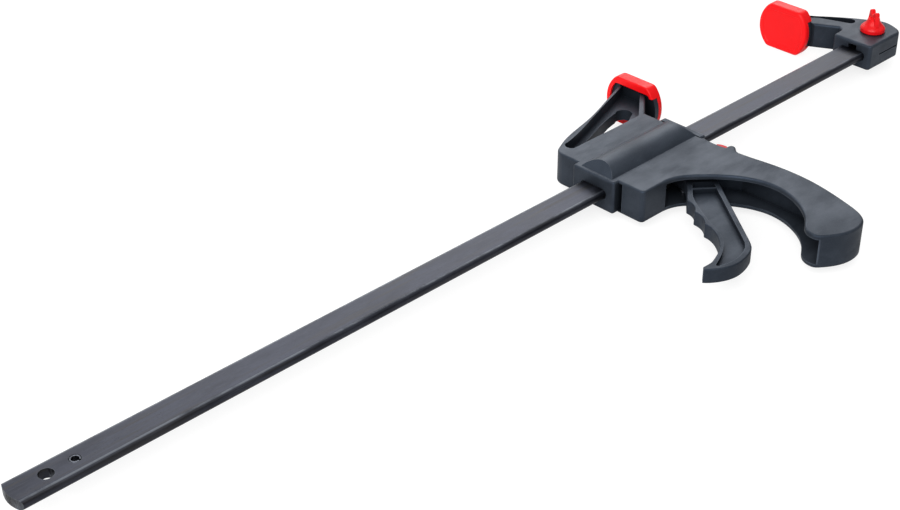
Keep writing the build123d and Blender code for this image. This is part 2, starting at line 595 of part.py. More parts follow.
def make_brake_lever():
    """Canted plate that jams on the bar; its leg carries the release button."""
    drop = BRAKE_FULCRUM_Y
    disc = Plane.YZ * (Pos(-drop, 0) * Circle(DRIVE_PLATE_RADIUS))
    length = drop - BRAKE_LEG_END - BRAKE_TOP_GAP
    middle = -BRAKE_TOP_GAP - length / 2
    leg = Plane.YZ * (Pos(middle, 0) * Rectangle(length, BRAKE_LEG_WIDTH))
    keep = Plane.YZ * (Pos(middle, 0) * Rectangle(length, 3 * DRIVE_PLATE_RADIUS))
    plate = extrude((disc + leg) & keep, amount=BRAKE_PLATE)
    width = BAR_WIDTH / BRAKE_COS + BRAKE_PLATE * tan(radians(BRAKE_CANT)) + 0.5
    height = BAR_THICKNESS + 0.6
    hole = Plane.YZ * (Pos(-drop / BRAKE_COS - 0.1, 0) * RectangleRounded(width, height, BAR_EDGE_RADIUS))
    plate -= Pos(-1, 0, 0) * extrude(hole, amount=BRAKE_PLATE + 2)
    return Pos(HEAD_X, 0, 0) * cant(plate)


def make_release_button():
    """Finger cap pushed on the end of the brake lever's leg."""
    top = BUTTON_TOP - BRAKE_FULCRUM_Y
    bottom = BUTTON_BOTTOM - BRAKE_FULCRUM_Y + 1.0
    face_x = BODY_LENGTH + BUTTON_PROUD - BRAKE_FULCRUM_X + top * BRAKE_SIN
    back_x = -1.4
    roof = Polyline((back_x, bottom), (back_x, top), (face_x - 1.6, top))
    brow = ThreePointArc(roof @ 1, (face_x, (top + bottom) / 2), (face_x - 1.6, bottom))
    sole = Line(brow @ 1, roof @ 0)
    cap = slab(make_face(Wire(roof.edges() + [brow, sole])), BUTTON_WIDTH / 2)
    cap = fillet([e for e in cap.edges().filter_by(Axis.Z) if e.center().X > 2], 1.6)
    cap = fillet([e for e in cap.edges() if e.center().X > face_x - 3.4], 0.8)
    leg_end = BRAKE_LEG_END - BRAKE_FULCRUM_Y
    half = BRAKE_LEG_WIDTH / 2
    cap -= block(0, BRAKE_PLATE, leg_end, 5, -half, half)
    return Pos(HEAD_X, 0, 0) * cant(cap)


def make_brake_spring_seat():
    """Washer with the bar's section, on the step of the chamber."""
    seat = rod_x(BRAKE_CHAMBER_RADIUS - 0.1, CHAMBER_STEP, CHAMBER_STEP + SEAT_THICKNESS)
    radius = BRAKE_CHAMBER_RADIUS
    seat -= block(CHAMBER_STEP - 1, CHAMBER_STEP + SEAT_THICKNESS + 1, -radius, -BAR_WIDTH / 2 - SEAT_RIM,
                  -radius, radius)
    seat -= bar_slot(CHAMBER_STEP - 1, CHAMBER_STEP + SEAT_THICKNESS + 1)
    return Pos(HEAD_X, 0, 0) * seat


def make_brake_spring():
    start = CHAMBER_STEP + SEAT_THICKNESS
    return Pos(HEAD_X, 0, 0) * coil(COIL_INNER_RADIUS, BRAKE_WIRE, BRAKE_COILS, start + COIL_SETBACK,
                                    BRAKE_FULCRUM_X - COIL_SETBACK)


# ---- fixed jaw ------------------------------------------------------------------------

def strut_line(x):
    """Front wall of the strut: its Y at a given X from the screw axis."""
    return FIXED_HALF_WIDTH + 6.9 - (x + 11.6) * STRUT_SLOPE


def fixed_outline():
    """Head and strut seen from above, about the screw axis."""
    plate = FIXED_PLATE_BACK - FAR_HOLE_X
    front = -FIXED_FRONT
    half = FIXED_HALF_WIDTH
    shoulder = Polyline((front, -half), (front, half), (front + 1.6, half + 1.4), (-12.6, half + 2.0),
                        (-10.8, strut_line(-10.8)), (plate, strut_line(plate)), (plate, JAW_REACH + 3.9))
    spine = Spline(shoulder @ 1, (-7.1, JAW_REACH - 11.6), (3.9, half + 16.4), (14.9, half - 0.6),
                   tangents=[(0.76, -0.9), (0.5, -1.0)])
    rear = Spline(spine @ 1, (FIXED_BACK, 2.0), (17.4, -9.0), (11.0, -half),
                  tangents=[(0.5, -1.0), (-1.0, -0.45)])
    closing = Polyline(rear @ 1, shoulder @ 0)
    return make_face(Wire(shoulder.edges() + [spine, rear] + closing.edges()))


def strut_pocket():
    """Slot between the strut's front wall and its back rib."""
    plate = FIXED_PLATE_BACK - FAR_HOLE_X
    half = FIXED_HALF_WIDTH
    left = Polyline((plate, JAW_REACH - 5.6), (plate, JAW_REACH + 0.4))
    outer = Spline(left @ 1, (-6.4, JAW_REACH - 13.6), (6.4, half + 8.3), tangents=[(0.8, -0.9), (0.5, -0.87)])
    end = ThreePointArc(outer @ 1, (3.0, half + 2.1), (-1.0, half + 5.5))
    inner = Polyline(end @ 1, (-8.6, JAW_REACH - 17.0), left @ 0)
    return make_face(Wire(left.edges() + [outer, end] + inner.edges()))


def make_fixed_jaw():
    plate = FIXED_PLATE_BACK - FAR_HOLE_X
    jaw = slab(fixed_outline(), FIXED_HALF)
    upright = [e for e in jaw.edges().filter_by(Axis.Z)
               if e.center().X < FIXED_BACK * 0.6 and abs(e.center().Y) < FIXED_HALF_WIDTH + 4]
    jaw = fillet(upright, FIXED_ROUND)
    rim = [e for e in flat_edges(jaw, FIXED_HALF) + flat_edges(jaw, -FIXED_HALF)
           if e.center().X > plate + 0.5]
    jaw = fillet(rim, FIXED_ROUND * 0.7)
    pocket = extrude(strut_pocket(), amount=FIXED_THICKNESS)
    jaw -= Pos(0, 0, STRUT_WEB / 2) * pocket
    jaw -= Pos(0, 0, -STRUT_WEB / 2 - FIXED_THICKNESS) * pocket
    jaw = Pos(FAR_HOLE_X, 0, 0) * jaw
    jaw += pad_plate(FIXED_PLATE_BACK - PLATE_THICKNESS)
    front = FAR_HOLE_X - FIXED_FRONT
    bar_end = FAR_END_X + 0.3
    jaw -= bar_slot(front - 1, bar_end)
    roof = BAR_THICKNESS / 2 + BAR_CLEARANCE
    jaw -= block(front - 1, front + KEYWAY_DEPTH, -KEYWAY_WIDTH / 2, KEYWAY_WIDTH / 2, 0, roof + KEYWAY_HEIGHT)
    jaw -= block(front + SLIT_START, front + SLIT_START + SLIT_LENGTH, -FIXED_HALF_WIDTH - 1, 0,
                 -SLIT_WIDTH / 2, SLIT_WIDTH / 2)
    jaw -= rod_z(LOCK_SCREW_DIAMETER / 2 + LOCK_BORE_CLEARANCE, FAR_HOLE_X, 0, -FIXED_HALF + 2, FIXED_HALF + 1)
    nut = NUT_WIDTH / 2 + NUT_GAP
    top = FIXED_HALF - NUT_ROOF
    jaw -= block(FAR_HOLE_X - nut, FAR_HOLE_X + nut, -nut, nut, top - NUT_THICKNESS - NUT_GAP, top)
    return jaw


# ---- locking screw --------------------------------------------------------------------

def make_lock_nut():
    """Square nut held in the head above the bar."""
    top = FIXED_HALF - NUT_ROOF - NUT_GAP / 2
    nut = Pos(0, 0, top - NUT_THICKNESS / 2) * Box(NUT_WIDTH, NUT_WIDTH, NUT_THICKNESS)
    nut -= rod_z(LOCK_SCREW_DIAMETER / 2 + THREAD_CLEARANCE, 0, 0, 0, FIXED_HALF)
    return Pos(FAR_HOLE_X, 0, 0) * nut


def make_lock_screw():
    """Stud moulded into the knob; its plain end drops into the bar's hole."""
    radius = LOCK_SCREW_DIAMETER / 2
    top = KNOB_BASE + KNOB_HEIGHT * 0.5
    screw = rod_z(radius, 0, 0, -LOCK_DEPTH, top)
    screw = fillet(screw.faces().sort_by(Axis.Z)[0].edges(), 1.0)
    neck = rod_z(radius + 1, 0, 0, -LOCK_DEPTH - 1, BAR_THICKNESS / 2 + 0.6) - rod_z(
        radius - 0.35, 0, 0, -LOCK_DEPTH - 2, BAR_THICKNESS / 2 + 0.6)
    screw -= neck
    return Pos(FAR_HOLE_X, 0, 0) * screw


def make_knob_washer():
    bottom = FIXED_HALF + WASHER_GAP
    washer = rod_z(WASHER_DIAMETER / 2, 0, 0, bottom, bottom + WASHER_THICKNESS)
    washer -= rod_z(LOCK_SCREW_DIAMETER / 2 + WASHER_GAP, 0, 0, bottom - 1, bottom + WASHER_THICKNESS + 1)
    return Pos(FAR_HOLE_X, 0, 0) * washer


def make_locking_knob():
    """Bell-shaped wing knob with a dip between its two tips."""
    radius = KNOB_RADIUS
    skirt = Polyline((0, 0), (radius - 0.5, 0), (radius, 0.5), (radius, KNOB_SKIRT))
    bell = Spline(skirt @ 1, (radius * 0.78, KNOB_SKIRT + 2.4), (radius * 0.48, BELL_HEIGHT),
                  tangents=[(-0.35, 1.0), (-0.15, 1.0)])
    top = Polyline(bell @ 1, (0, BELL_HEIGHT), (0, 0))
    profile = make_face(Plane.XZ * Wire(skirt.edges() + [bell] + top.edges()))
    knob = revolve(profile, axis=Axis.Z)
    half = WING_LENGTH / 2
    tip = KNOB_HEIGHT
    foot = Polyline((radius - 0.3, 0.6), (0.6 - radius, 0.6))
    rise = Spline(foot @ 1, (-half - 0.7, tip * 0.5), (-half + 0.4, tip - 2.0),
                  tangents=[(0.1, 1.0), (0.15, 1.0)])
    lobe = ThreePointArc(rise @ 1, (-half + 2.2, tip), (-half + 4.0, tip - 1.6))
    dip = ThreePointArc(lobe @ 1, (0, tip - WING_DIP), (half - 4.0, tip - 1.6))
    lobe_b = ThreePointArc(dip @ 1, (half - 2.2, tip), (half - 0.4, tip - 2.0))
    fall = Spline(lobe_b @ 1, (half + 0.7, tip * 0.5), foot @ 0, tangents=[(0.15, -1.0), (0.1, -1.0)])
    wing_face = make_face(Plane.XZ * Wire(foot.edges() + [rise, lobe, dip, lobe_b, fall]))
    wing = extrude(wing_face, amount=WING_THICKNESS / 2, both=True)
    wing = fillet([e for e in wing.edges() if abs(abs(e.center().Y) - WING_THICKNESS / 2) < 0.01
                   and e.center().Z > 1.0], WING_ROUND)
    knob += wing
    depth = KNOB_HEIGHT * 0.5 + 0.2
    knob -= rod_z(LOCK_SCREW_DIAMETER / 2, 0, 0, -1, depth)
    seat = WASHER_GAP + WASHER_THICKNESS + WASHER_GAP - KNOB_GAP
    knob -= rod_z(WASHER_DIAMETER / 2 + WASHER_GAP, 0, 0, -1, seat)
    return Pos(FAR_HOLE_X, 0, KNOB_BASE) * Rot(0, 0, WING_TURN) * knob


# ---- write every piece ----------------------------------------------------------------

PIECES = {
    "bar": make_bar,
    "stop_roll_pin": make_stop_roll_pin,
    "sliding_body": make_sliding_body,
    "rear_end_cap": make_rear_end_cap,
    "end_cap_screws": make_end_cap_screws,
    "moving_pad": make_moving_pad,
    "trigger": make_trigger,
    "trigger_pivot_pin": make_trigger_pivot_pin,
    "drive_plate_front": make_drive_plate_front,
    "drive_plate_rear": make_drive_plate_rear,
    "drive_spring": make_drive_spring,
    "brake_spring_seat": make_brake_spring_seat,
    "brake_spring": make_brake_spring,
    "brake_lever": make_brake_lever,
    "release_button": make_release_button,
    "fixed_jaw": make_fixed_jaw,
    "fixed_pad": make_fixed_pad,
    "lock_nut": make_lock_nut,
    "lock_screw": make_lock_screw,
    "knob_washer": make_knob_washer,
    "locking_knob": make_locking_knob,
}

os.makedirs("parts", exist_ok=True)
for name, make in PIECES.items():
    export_step(make(), "parts/" + name + ".step")
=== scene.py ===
import math

import bmesh
import bpy
from bpy.props import FloatProperty, FloatVectorProperty, PointerProperty
from mathutils import Matrix, Vector


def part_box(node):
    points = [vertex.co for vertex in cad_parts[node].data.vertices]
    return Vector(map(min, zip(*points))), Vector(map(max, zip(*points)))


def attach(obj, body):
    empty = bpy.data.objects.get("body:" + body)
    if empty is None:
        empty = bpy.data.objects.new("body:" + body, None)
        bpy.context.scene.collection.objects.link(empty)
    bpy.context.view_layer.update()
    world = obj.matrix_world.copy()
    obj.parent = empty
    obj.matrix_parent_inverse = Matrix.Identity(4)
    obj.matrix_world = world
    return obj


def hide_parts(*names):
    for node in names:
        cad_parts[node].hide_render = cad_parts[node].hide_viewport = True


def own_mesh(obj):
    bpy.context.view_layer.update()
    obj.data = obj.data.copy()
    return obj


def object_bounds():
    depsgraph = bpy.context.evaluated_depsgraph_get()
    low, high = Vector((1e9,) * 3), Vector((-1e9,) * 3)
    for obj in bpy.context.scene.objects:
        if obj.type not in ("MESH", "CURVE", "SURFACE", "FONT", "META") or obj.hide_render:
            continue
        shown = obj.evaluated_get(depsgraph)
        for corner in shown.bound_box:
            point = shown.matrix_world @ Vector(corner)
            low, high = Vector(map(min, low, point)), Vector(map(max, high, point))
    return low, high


bl_info = {
    "name": "Bar clamp finishes",
    "version": (1, 0, 0),
    "blender": (4, 5, 0),
    "location": "View3D > Sidebar > Bar clamp",
    "description": "Finishes and small fittings of a quick release bar clamp on its fixed frame",
    "category": "Object",
}

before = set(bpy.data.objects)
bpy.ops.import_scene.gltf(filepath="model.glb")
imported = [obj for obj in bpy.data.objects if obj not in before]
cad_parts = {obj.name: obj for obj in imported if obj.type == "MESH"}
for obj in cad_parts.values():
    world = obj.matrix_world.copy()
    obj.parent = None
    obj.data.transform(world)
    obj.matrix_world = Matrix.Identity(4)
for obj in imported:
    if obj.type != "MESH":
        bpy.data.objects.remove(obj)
cad_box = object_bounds()

MM = 0.001

# ---- camera ---------------------------------------------------------------------------

CAMERA_PLACE = Vector((-254.38, -549.46, 491.89)) * MM
CAMERA_HEADING = math.radians(46.51)      # from +X towards +Y
CAMERA_DROP = math.radians(32.68)         # below the horizon
CAMERA_ROLL = math.radians(-0.555)
CAMERA_SENSOR = 36.0                      # mm
CAMERA_LENS = 63.42                       # mm
CAMERA_SHIFT = (-0.00536, -0.00136)
CAMERA_CLIP = (0.05, 50.0)                # metres

# ---- stage ----------------------------------------------------------------------------

WHITE = (1.0, 1.0, 1.0, 1.0)
FLOOR_HALF = 8.0                          # metres
FLOOR_PAPER = (0.8, 0.8, 0.8, 1.0)        # what the floor gives back to the clamp
FLOOR_SHADE = (0.26, 0.26, 0.26, 1.0)     # the part of the seen floor that takes shadows
MIRRORED_FLOOR = 0.45                     # brightness of the floor in reflections
CEILING = 1.0                             # brightness of the ceiling in reflections
DARK_ROOM = 0.08                          # and of the room behind the camera
BACKDROP_HEADING = math.radians(86.0)     # middle of the white backdrop
BACKDROP_SPREAD = (0.05, 0.6)             # how squarely a ray must face it to see it
CEILING_LIFT = (0.2, 0.7)                 # rise of the rays that see the ceiling
KEY_HEADING = math.radians(50.0)          # softbox low behind the clamp, mirrored in its flat top
KEY_LIFT = math.radians(33.0)
KEY_DISTANCE = 2.0
KEY_SIZE = (1.9, 0.85)
FILL_HEADING = math.radians(205.0)        # softbox behind the camera
FILL_LIFT = math.radians(42.0)
FILL_DISTANCE = 2.2
FILL_SIZE = (2.4, 1.8)

# ---- pattern sizes --------------------------------------------------------------------

SPARK_GRAIN = 0.55 * MM                   # spark-eroded skin, really 0.15 mm, drawn coarser to show
SKIN_WAVE = 9.0 * MM                      # slow unevenness of a moulded skin
FIBRE_BLOOM = 22.0 * MM                   # cloudy patches where glass fibre reaches the skin
DRAW_LINE = 0.5 * MM                      # lines left by the drawing die
OXIDE_PATCH = 14.0 * MM
OXIDE_STREAK = 2.6 * MM
SHEAR_STREAK = 0.8 * MM
TOOL_LINE = 0.25 * MM
ORANGE_PEEL = 2.5 * MM
PLATING_CLOUD = 3.0 * MM
SMUDGE = 11.0 * MM                        # darker marks of handling
SCUFF = 1.6 * MM                          # small pale rubs
PAINTED_SHADE_REACH = 14.0 * MM                        # how near the walls are that darken a channel with painted shade
NYLON_EDGE = 1.3 * MM                     # width of a rubbed edge, wide enough to paint a highlight along rounded edges too
STEEL_EDGE = 0.5 * MM
SMUDGE_TURN = math.radians(-38.0)         # the way a hand sweeps over the grip

WAVE_HEIGHT = 0.10 * MM
GRAIN_HEIGHT = 0.05 * MM
TORN_HEIGHT = 0.5 * MM
DRAWN_HEIGHT = 0.02 * MM
VINYL_PEEL_HEIGHT = 0.12 * MM
PLASTIC_PEEL_HEIGHT = 0.10 * MM
TOOLED_HEIGHT = 0.02 * MM

NYLON_IOR = 1.53
VINYL_IOR = 1.54
POLYPROPYLENE_IOR = 1.5
NYLON_SHEEN = (0.5, 0.68, 1.0, 1.0)       # the fibre gives the gloss a cold cast
VINYL_GLOW = (1.0, 0.2, 0.1)              # red light travels furthest inside the vinyl
VINYL_GLOW_DEPTH = 1.2 * MM

# ---- fittings -------------------------------------------------------------------------

STOP_PIN_WALL = 1.1 * MM
STOP_PIN_SLOT = 1.5 * MM
STOP_PIN_CHAMFER = 0.42 * MM
STOP_PIN_LEAD = 1.6                       # length of the chamfer against its depth
STOP_PIN_TURN = math.radians(-62.0)       # where its slot faces
PAD_RADIUS = 21.7 * MM
PAD_SKIN = 1.7 * MM                       # vinyl round the plate's edge and behind it
PAD_LIP = 3.2 * MM                        # how far the back lip reaches in over the plate
PAD_MOUTH = 20.0 * MM                     # opening towards the bar
PAD_FACE_ROUND = 2.0 * MM
PAD_BACK_ROUND = 0.8 * MM
PAD_RIM = 3.8 * MM                        # flat rim round the shallow dish of the pad's face
PAD_DISH = 0.25 * MM
PAD_CORNER = 46.0                         # the higher, the crisper the corners of its outline
PAD_CREASE = math.radians(38.0)           # edges sharper than this show as creases
PLATE_THICKNESS = 3.6 * MM                # nylon plate inside the pad
PAD_GAP = 0.05 * MM                       # between the two
SCREW_POINT = 0.6 * MM                    # chamfer at the tip of the locking screw
SCREW_RELIEF = 0.4 * MM                   # how much thinner its unthreaded end is
SCREW_PLAIN = 5.6 * MM                    # length of that end, which drops into the bar
THREAD_SINK = 0.05 * MM                   # how far the thread's ridge stands in the core
THREAD_FOOT = 0.92                        # width of the ridge at its foot, in pitches
THREAD_CREST = 0.16                       # and at its crest

COIL_STEPS = 40                           # straight pieces in a turn of a spring
WIRE_STEPS = 12                           # and round its wire
THREAD_STEPS = 48
SCREW_STEPS = 64
STOP_PIN_STEPS = 72
PAD_STEPS = 144
PAD_BENDS = 6                             # pieces across each rounded edge of a pad


# ---- small tools ----------------------------------------------------------------------

def linear(code):
    """A colour written as sRGB hex, turned to linear RGB."""
    values = [int(code[i:i + 2], 16) / 255 for i in (1, 3, 5)]
    return tuple(v / 12.92 if v <= 0.04045 else ((v + 0.055) / 1.055) ** 2.4 for v in values)


def paint(colour, shade=1.0):
    """A property's colour, lighter or darker, as a shader socket takes it."""
    return (*(min(1.0, channel * shade) for channel in colour), 1.0)


def add(tree, kind, settings=None, inputs=None):
    """Adds a node, sets it up, and gives its inputs their values or links. An input goes by its
    name or number, and a node given as a value stands for its output."""
    made = tree.nodes.new(kind)
    for name, value in (settings or {}).items():
        setattr(made, name, value)
    for name, value in (inputs or {}).items():
        if isinstance(name, int):
            socket = made.inputs[name]
        else:
            socket = next(s for s in made.inputs if s.name == name and s.enabled)
        if isinstance(value, bpy.types.Node):
            value = next(s for s in value.outputs if s.enabled)
        if isinstance(value, bpy.types.NodeSocket):
            tree.links.new(value, socket)
        else:
            socket.default_value = value
    return made


SMOOTH = {"interpolation_type": "SMOOTHSTEP"}
COLOUR = {"data_type": "RGBA"}
OCCLUSION = {"samples": 8}
MULTIPLY = {"operation": "MULTIPLY"}
MULTIPLY_ADD = {"operation": "MULTIPLY_ADD"}
SUBTRACT = {"operation": "SUBTRACT"}
MAXIMUM = {"operation": "MAXIMUM"}
DOT_PRODUCT = {"operation": "DOT_PRODUCT"}


def blotches(tree, place, size, detail=2.0, rough=0.5, stretch=(1, 1, 1), turn=0.0):
    """Noise with blotches about as wide as size, drawn out along the axes where stretch is high."""
    scale = [1 / (size * s) for s in stretch]
    fitted = add(tree, "ShaderNodeMapping", None,
                 {"Vector": place, "Scale": scale, "Rotation": (0.0, 0.0, turn)})
    return add(tree, "ShaderNodeTexNoise", None,
               {"Vector": fitted, "Scale": 1.0, "Detail": detail, "Roughness": rough})


def spread(tree, skin, pattern, low, high, most, colour):
    """The skin with a colour laid over it where the pattern rises from low to high, at most by
    this much."""
    cover = add(tree, "ShaderNodeMapRange", SMOOTH,
                {"Value": pattern, "From Min": low, "From Max": high, "To Max": most})
    return add(tree, "ShaderNodeMix", COLOUR, {"Factor": cover, "A": skin, "B": colour})


def worn_and_highlit_edges(tree, radius, patchiness):
    """1 on crisp outer edges and 0 on flats and in corners, broken up by the patchiness given. The
    paler colour laid there is rubbed edges, and on the nylon also a painted highlight.
    """
    rounded = add(tree, "ShaderNodeBevel", {"samples": 8}, {"Radius": radius})
    true = add(tree, "ShaderNodeNewGeometry").outputs["Normal"]
    facing = add(tree, "ShaderNodeVectorMath", DOT_PRODUCT, {0: rounded, 1: true})
    edge = add(tree, "ShaderNodeMapRange", SMOOTH,
               {"Value": facing, "From Min": 0.995, "From Max": 0.86})
    worn = add(tree, "ShaderNodeMath", MULTIPLY, {0: edge, 1: patchiness})
    around = add(tree, "ShaderNodeAmbientOcclusion", OCCLUSION, {"Distance": 2 * radius})
    outer = add(tree, "ShaderNodeMapRange", SMOOTH,
                {"Value": around.outputs["AO"], "From Min": 0.75, "From Max": 0.95})
    return add(tree, "ShaderNodeMath", MULTIPLY, {0: worn, 1: outer})


def finished(name, surface):
    """A material of this name whose nodes are laid by surface(tree, place)."""
    material = bpy.data.materials.new(name)
    material.use_nodes = True
    tree = material.node_tree
    tree.nodes.clear()
    shader = surface(tree, add(tree, "ShaderNodeTexCoord").outputs["Object"])
    add(tree, "ShaderNodeOutputMaterial", None, {"Surface": shader})
    return material


# ---- materials ------------------------------------------------------------------------

def moulded_nylon(name, colour, worn, roughness, grain=1.0):
    """Glass-filled nylon 6, injection moulded in a spark-eroded tool: a slate-grey satin skin with
    an even fine grain, cloudy patches of fibre, darker smudges from handling, a few pale scuffs,
    edges rubbed paler, which also paints a highlight along them, and painted shade in its corners
    and channels."""
    def surface(tree, place):
        bloom = blotches(tree, place, FIBRE_BLOOM, 5.0, 0.62, (2, 1, 1))
        speck = blotches(tree, place, SPARK_GRAIN, 2.0, 0.6)
        wave = blotches(tree, place, SKIN_WAVE, 1.0)
        smudge = blotches(tree, place, SMUDGE, 3.0, 0.55, (3.2, 1, 1), SMUDGE_TURN)
        scuff = blotches(tree, place, SCUFF, 3.0, 0.7, (1, 1, 2.5))
        skin = spread(tree, paint(colour, 0.74), bloom, 0.32, 0.68, 1.0, paint(colour, 1.3))
        skin = spread(tree, skin, speck, 0.5, 0.78, 0.18, paint(worn))
        handled = add(tree, "ShaderNodeMapRange", SMOOTH,
                      {"Value": smudge, "From Min": 0.55, "From Max": 0.72, "To Max": 0.4})
        skin = add(tree, "ShaderNodeMix", COLOUR,
                   {"Factor": handled, "A": skin, "B": paint(colour, 0.5)})
        skin = spread(tree, skin, scuff, 0.68, 0.78, 0.5, paint(worn, 1.3))
        patchiness = add(tree, "ShaderNodeMapRange", SMOOTH,
                   {"Value": wave, "From Min": 0.35, "From Max": 0.6,
                    "To Min": 0.15, "To Max": 0.6})
        # Edges rubbed paler. The mask is drawn wide so that it also paints a highlight along
        # rounded edges.
        worn_highlit_edge = worn_and_highlit_edges(tree, NYLON_EDGE, patchiness)
        skin = add(tree, "ShaderNodeMix", COLOUR, {"Factor": worn_highlit_edge, "A": skin, "B": paint(worn)})
        # Painted shade: ambient occlusion darkens the skin in corners and channels.
        around = add(tree, "ShaderNodeAmbientOcclusion", OCCLUSION, {"Distance": PAINTED_SHADE_REACH})
        painted_recess_shade = paint(colour, 0.3)
        skin = spread(tree, painted_recess_shade, around.outputs["AO"], 0.35, 0.9, 1.0, skin)
        satin = add(tree, "ShaderNodeMapRange", SMOOTH,
                    {"Value": bloom, "From Min": 0.3, "From Max": 0.7,
                     "To Min": roughness + 0.07, "To Max": roughness - 0.06})
        dulled = add(tree, "ShaderNodeMath", MULTIPLY_ADD,
                     {0: handled, 1: 0.18, 2: satin})
        waves = add(tree, "ShaderNodeBump", None,
                    {"Height": wave, "Distance": WAVE_HEIGHT, "Strength": 0.5})
        grained = add(tree, "ShaderNodeBump", None,
                      {"Height": speck, "Distance": GRAIN_HEIGHT * grain, "Strength": 0.7,
                       "Normal": waves})
        return add(tree, "ShaderNodeBsdfPrincipled", None,
                   {"Base Color": skin, "Roughness": dulled, "IOR": NYLON_IOR,
                    "Specular IOR Level": 0.3, "Normal": grained, "Specular Tint": NYLON_SHEEN})
    return finished(name, surface)


def blackened_steel(name, colour, bare_and_highlight, warm):
    """Cold-drawn flat steel, black-oxided: near black and satin, fine lines drawn along its length,
    cloudy oxide with a few warmer streaks and pits, brighter steel rubbed on its crisp edges, a
    painted highlight along the rounded shoulders of its sides, and torn streaks across its sheared
    ends."""
    def surface(tree, place):
        facing = add(tree, "ShaderNodeSeparateXYZ", None,
                     {0: add(tree, "ShaderNodeTexCoord").outputs["Normal"]})
        across = add(tree, "ShaderNodeMath", {"operation": "ABSOLUTE"}, {0: facing.outputs["X"]})
        end = add(tree, "ShaderNodeMapRange", SMOOTH,
                  {"Value": across, "From Min": 0.6, "From Max": 0.85})
        lines = blotches(tree, place, DRAW_LINE, 3.0, 0.7, (90, 1, 1))
        patch = blotches(tree, place, OXIDE_PATCH, 6.0, 0.65, (3, 1, 1))
        streak = blotches(tree, place, OXIDE_STREAK, 3.0, 0.6, (40, 1, 1))
        pits = blotches(tree, place, SPARK_GRAIN, 2.0, 0.6, (2, 1, 1))
        torn = blotches(tree, place, SHEAR_STREAK, 2.0, 0.6, (1, 1, 7))
        skin = spread(tree, paint(colour, 0.7), patch, 0.32, 0.68, 1.0, paint(colour, 1.35))
        skin = spread(tree, skin, streak, 0.48, 0.7, 0.6, paint(warm))
        skin = spread(tree, skin, lines, 0.58, 0.8, 0.5, paint(bare_and_highlight))
        skin = spread(tree, skin, pits, 0.55, 0.75, 0.45, paint(colour, 0.5))
        sheared = spread(tree, paint(colour, 0.35), torn, 0.5, 0.66, 0.8, paint(bare_and_highlight))
        skin = add(tree, "ShaderNodeMix", COLOUR, {"Factor": end, "A": skin, "B": sheared})
        patchiness = add(tree, "ShaderNodeMapRange", SMOOTH,
                   {"Value": patch, "From Min": 0.4, "From Max": 0.6, "To Min": 0.2, "To Max": 0.8})
        worn_highlit_edge = worn_and_highlit_edges(tree, STEEL_EDGE, patchiness)
        skin = add(tree, "ShaderNodeMix", COLOUR, {"Factor": worn_highlit_edge, "A": skin, "B": paint(bare_and_highlight)})
        # Painted highlight: a lighter band where the rounded sides turn from the top. It stands in
        # for light mirrored on the bar's shoulders and is broken up by the oxide patches.
        aside = add(tree, "ShaderNodeMath", {"operation": "ABSOLUTE"}, {0: facing.outputs["Y"]})
        turning = add(tree, "ShaderNodeMapRange", SMOOTH,
                      {"Value": aside, "From Min": 0.05, "From Max": 0.2})
        beyond = add(tree, "ShaderNodeMapRange", SMOOTH,
                     {"Value": aside, "From Min": 0.4, "From Max": 0.6,
                      "To Min": 1.0, "To Max": 0.0})
        corner = add(tree, "ShaderNodeMath", MULTIPLY, {0: turning, 1: beyond})
        painted_highlight = add(tree, "ShaderNodeMath", MULTIPLY, {0: corner, 1: patchiness})
        skin = add(tree, "ShaderNodeMix", COLOUR,
                   {"Factor": painted_highlight, "A": skin, "B": paint(bare_and_highlight, 1.3)})
        satin = add(tree, "ShaderNodeMapRange", SMOOTH,
                    {"Value": patch, "From Min": 0.3, "From Max": 0.7,
                     "To Min": 0.36, "To Max": 0.48})
        ridged = add(tree, "ShaderNodeMath", MULTIPLY, {0: end, 1: torn})
        ridges = add(tree, "ShaderNodeBump", None,
                     {"Height": ridged, "Distance": TORN_HEIGHT, "Strength": 0.9})
        drawn_bump = add(tree, "ShaderNodeBump", None,
                         {"Height": lines, "Distance": DRAWN_HEIGHT, "Strength": 0.5,
                          "Normal": ridges})
        return add(tree, "ShaderNodeBsdfPrincipled", None,
                   {"Base Color": skin, "Metallic": 1.0, "Roughness": satin, "Normal": drawn_bump})
    return finished(name, surface)


def soft_vinyl(name, colour, deep):
    """Plasticised PVC, moulded: saturated red with a soft even gloss, a faint orange peel and a
    little light let into its skin."""
    def surface(tree, place):
        peel = blotches(tree, place, ORANGE_PEEL, 1.0)
        cloud = blotches(tree, place, FIBRE_BLOOM, 3.0, 0.5)
        skin = spread(tree, paint(deep), cloud, 0.3, 0.7, 1.0, paint(colour))
        gloss = add(tree, "ShaderNodeMapRange", SMOOTH,
                    {"Value": cloud, "From Min": 0.3, "From Max": 0.7,
                     "To Min": 0.32, "To Max": 0.44})
        skin_bump = add(tree, "ShaderNodeBump", None,
                        {"Height": peel, "Distance": VINYL_PEEL_HEIGHT, "Strength": 0.4})
        return add(tree, "ShaderNodeBsdfPrincipled", None,
                   {"Base Color": skin, "Roughness": gloss, "IOR": VINYL_IOR,
                    "Specular IOR Level": 0.17, "Normal": skin_bump, "Subsurface Weight": 0.06,
                    "Subsurface Radius": VINYL_GLOW, "Subsurface Scale": VINYL_GLOW_DEPTH})
    return finished(name, surface)


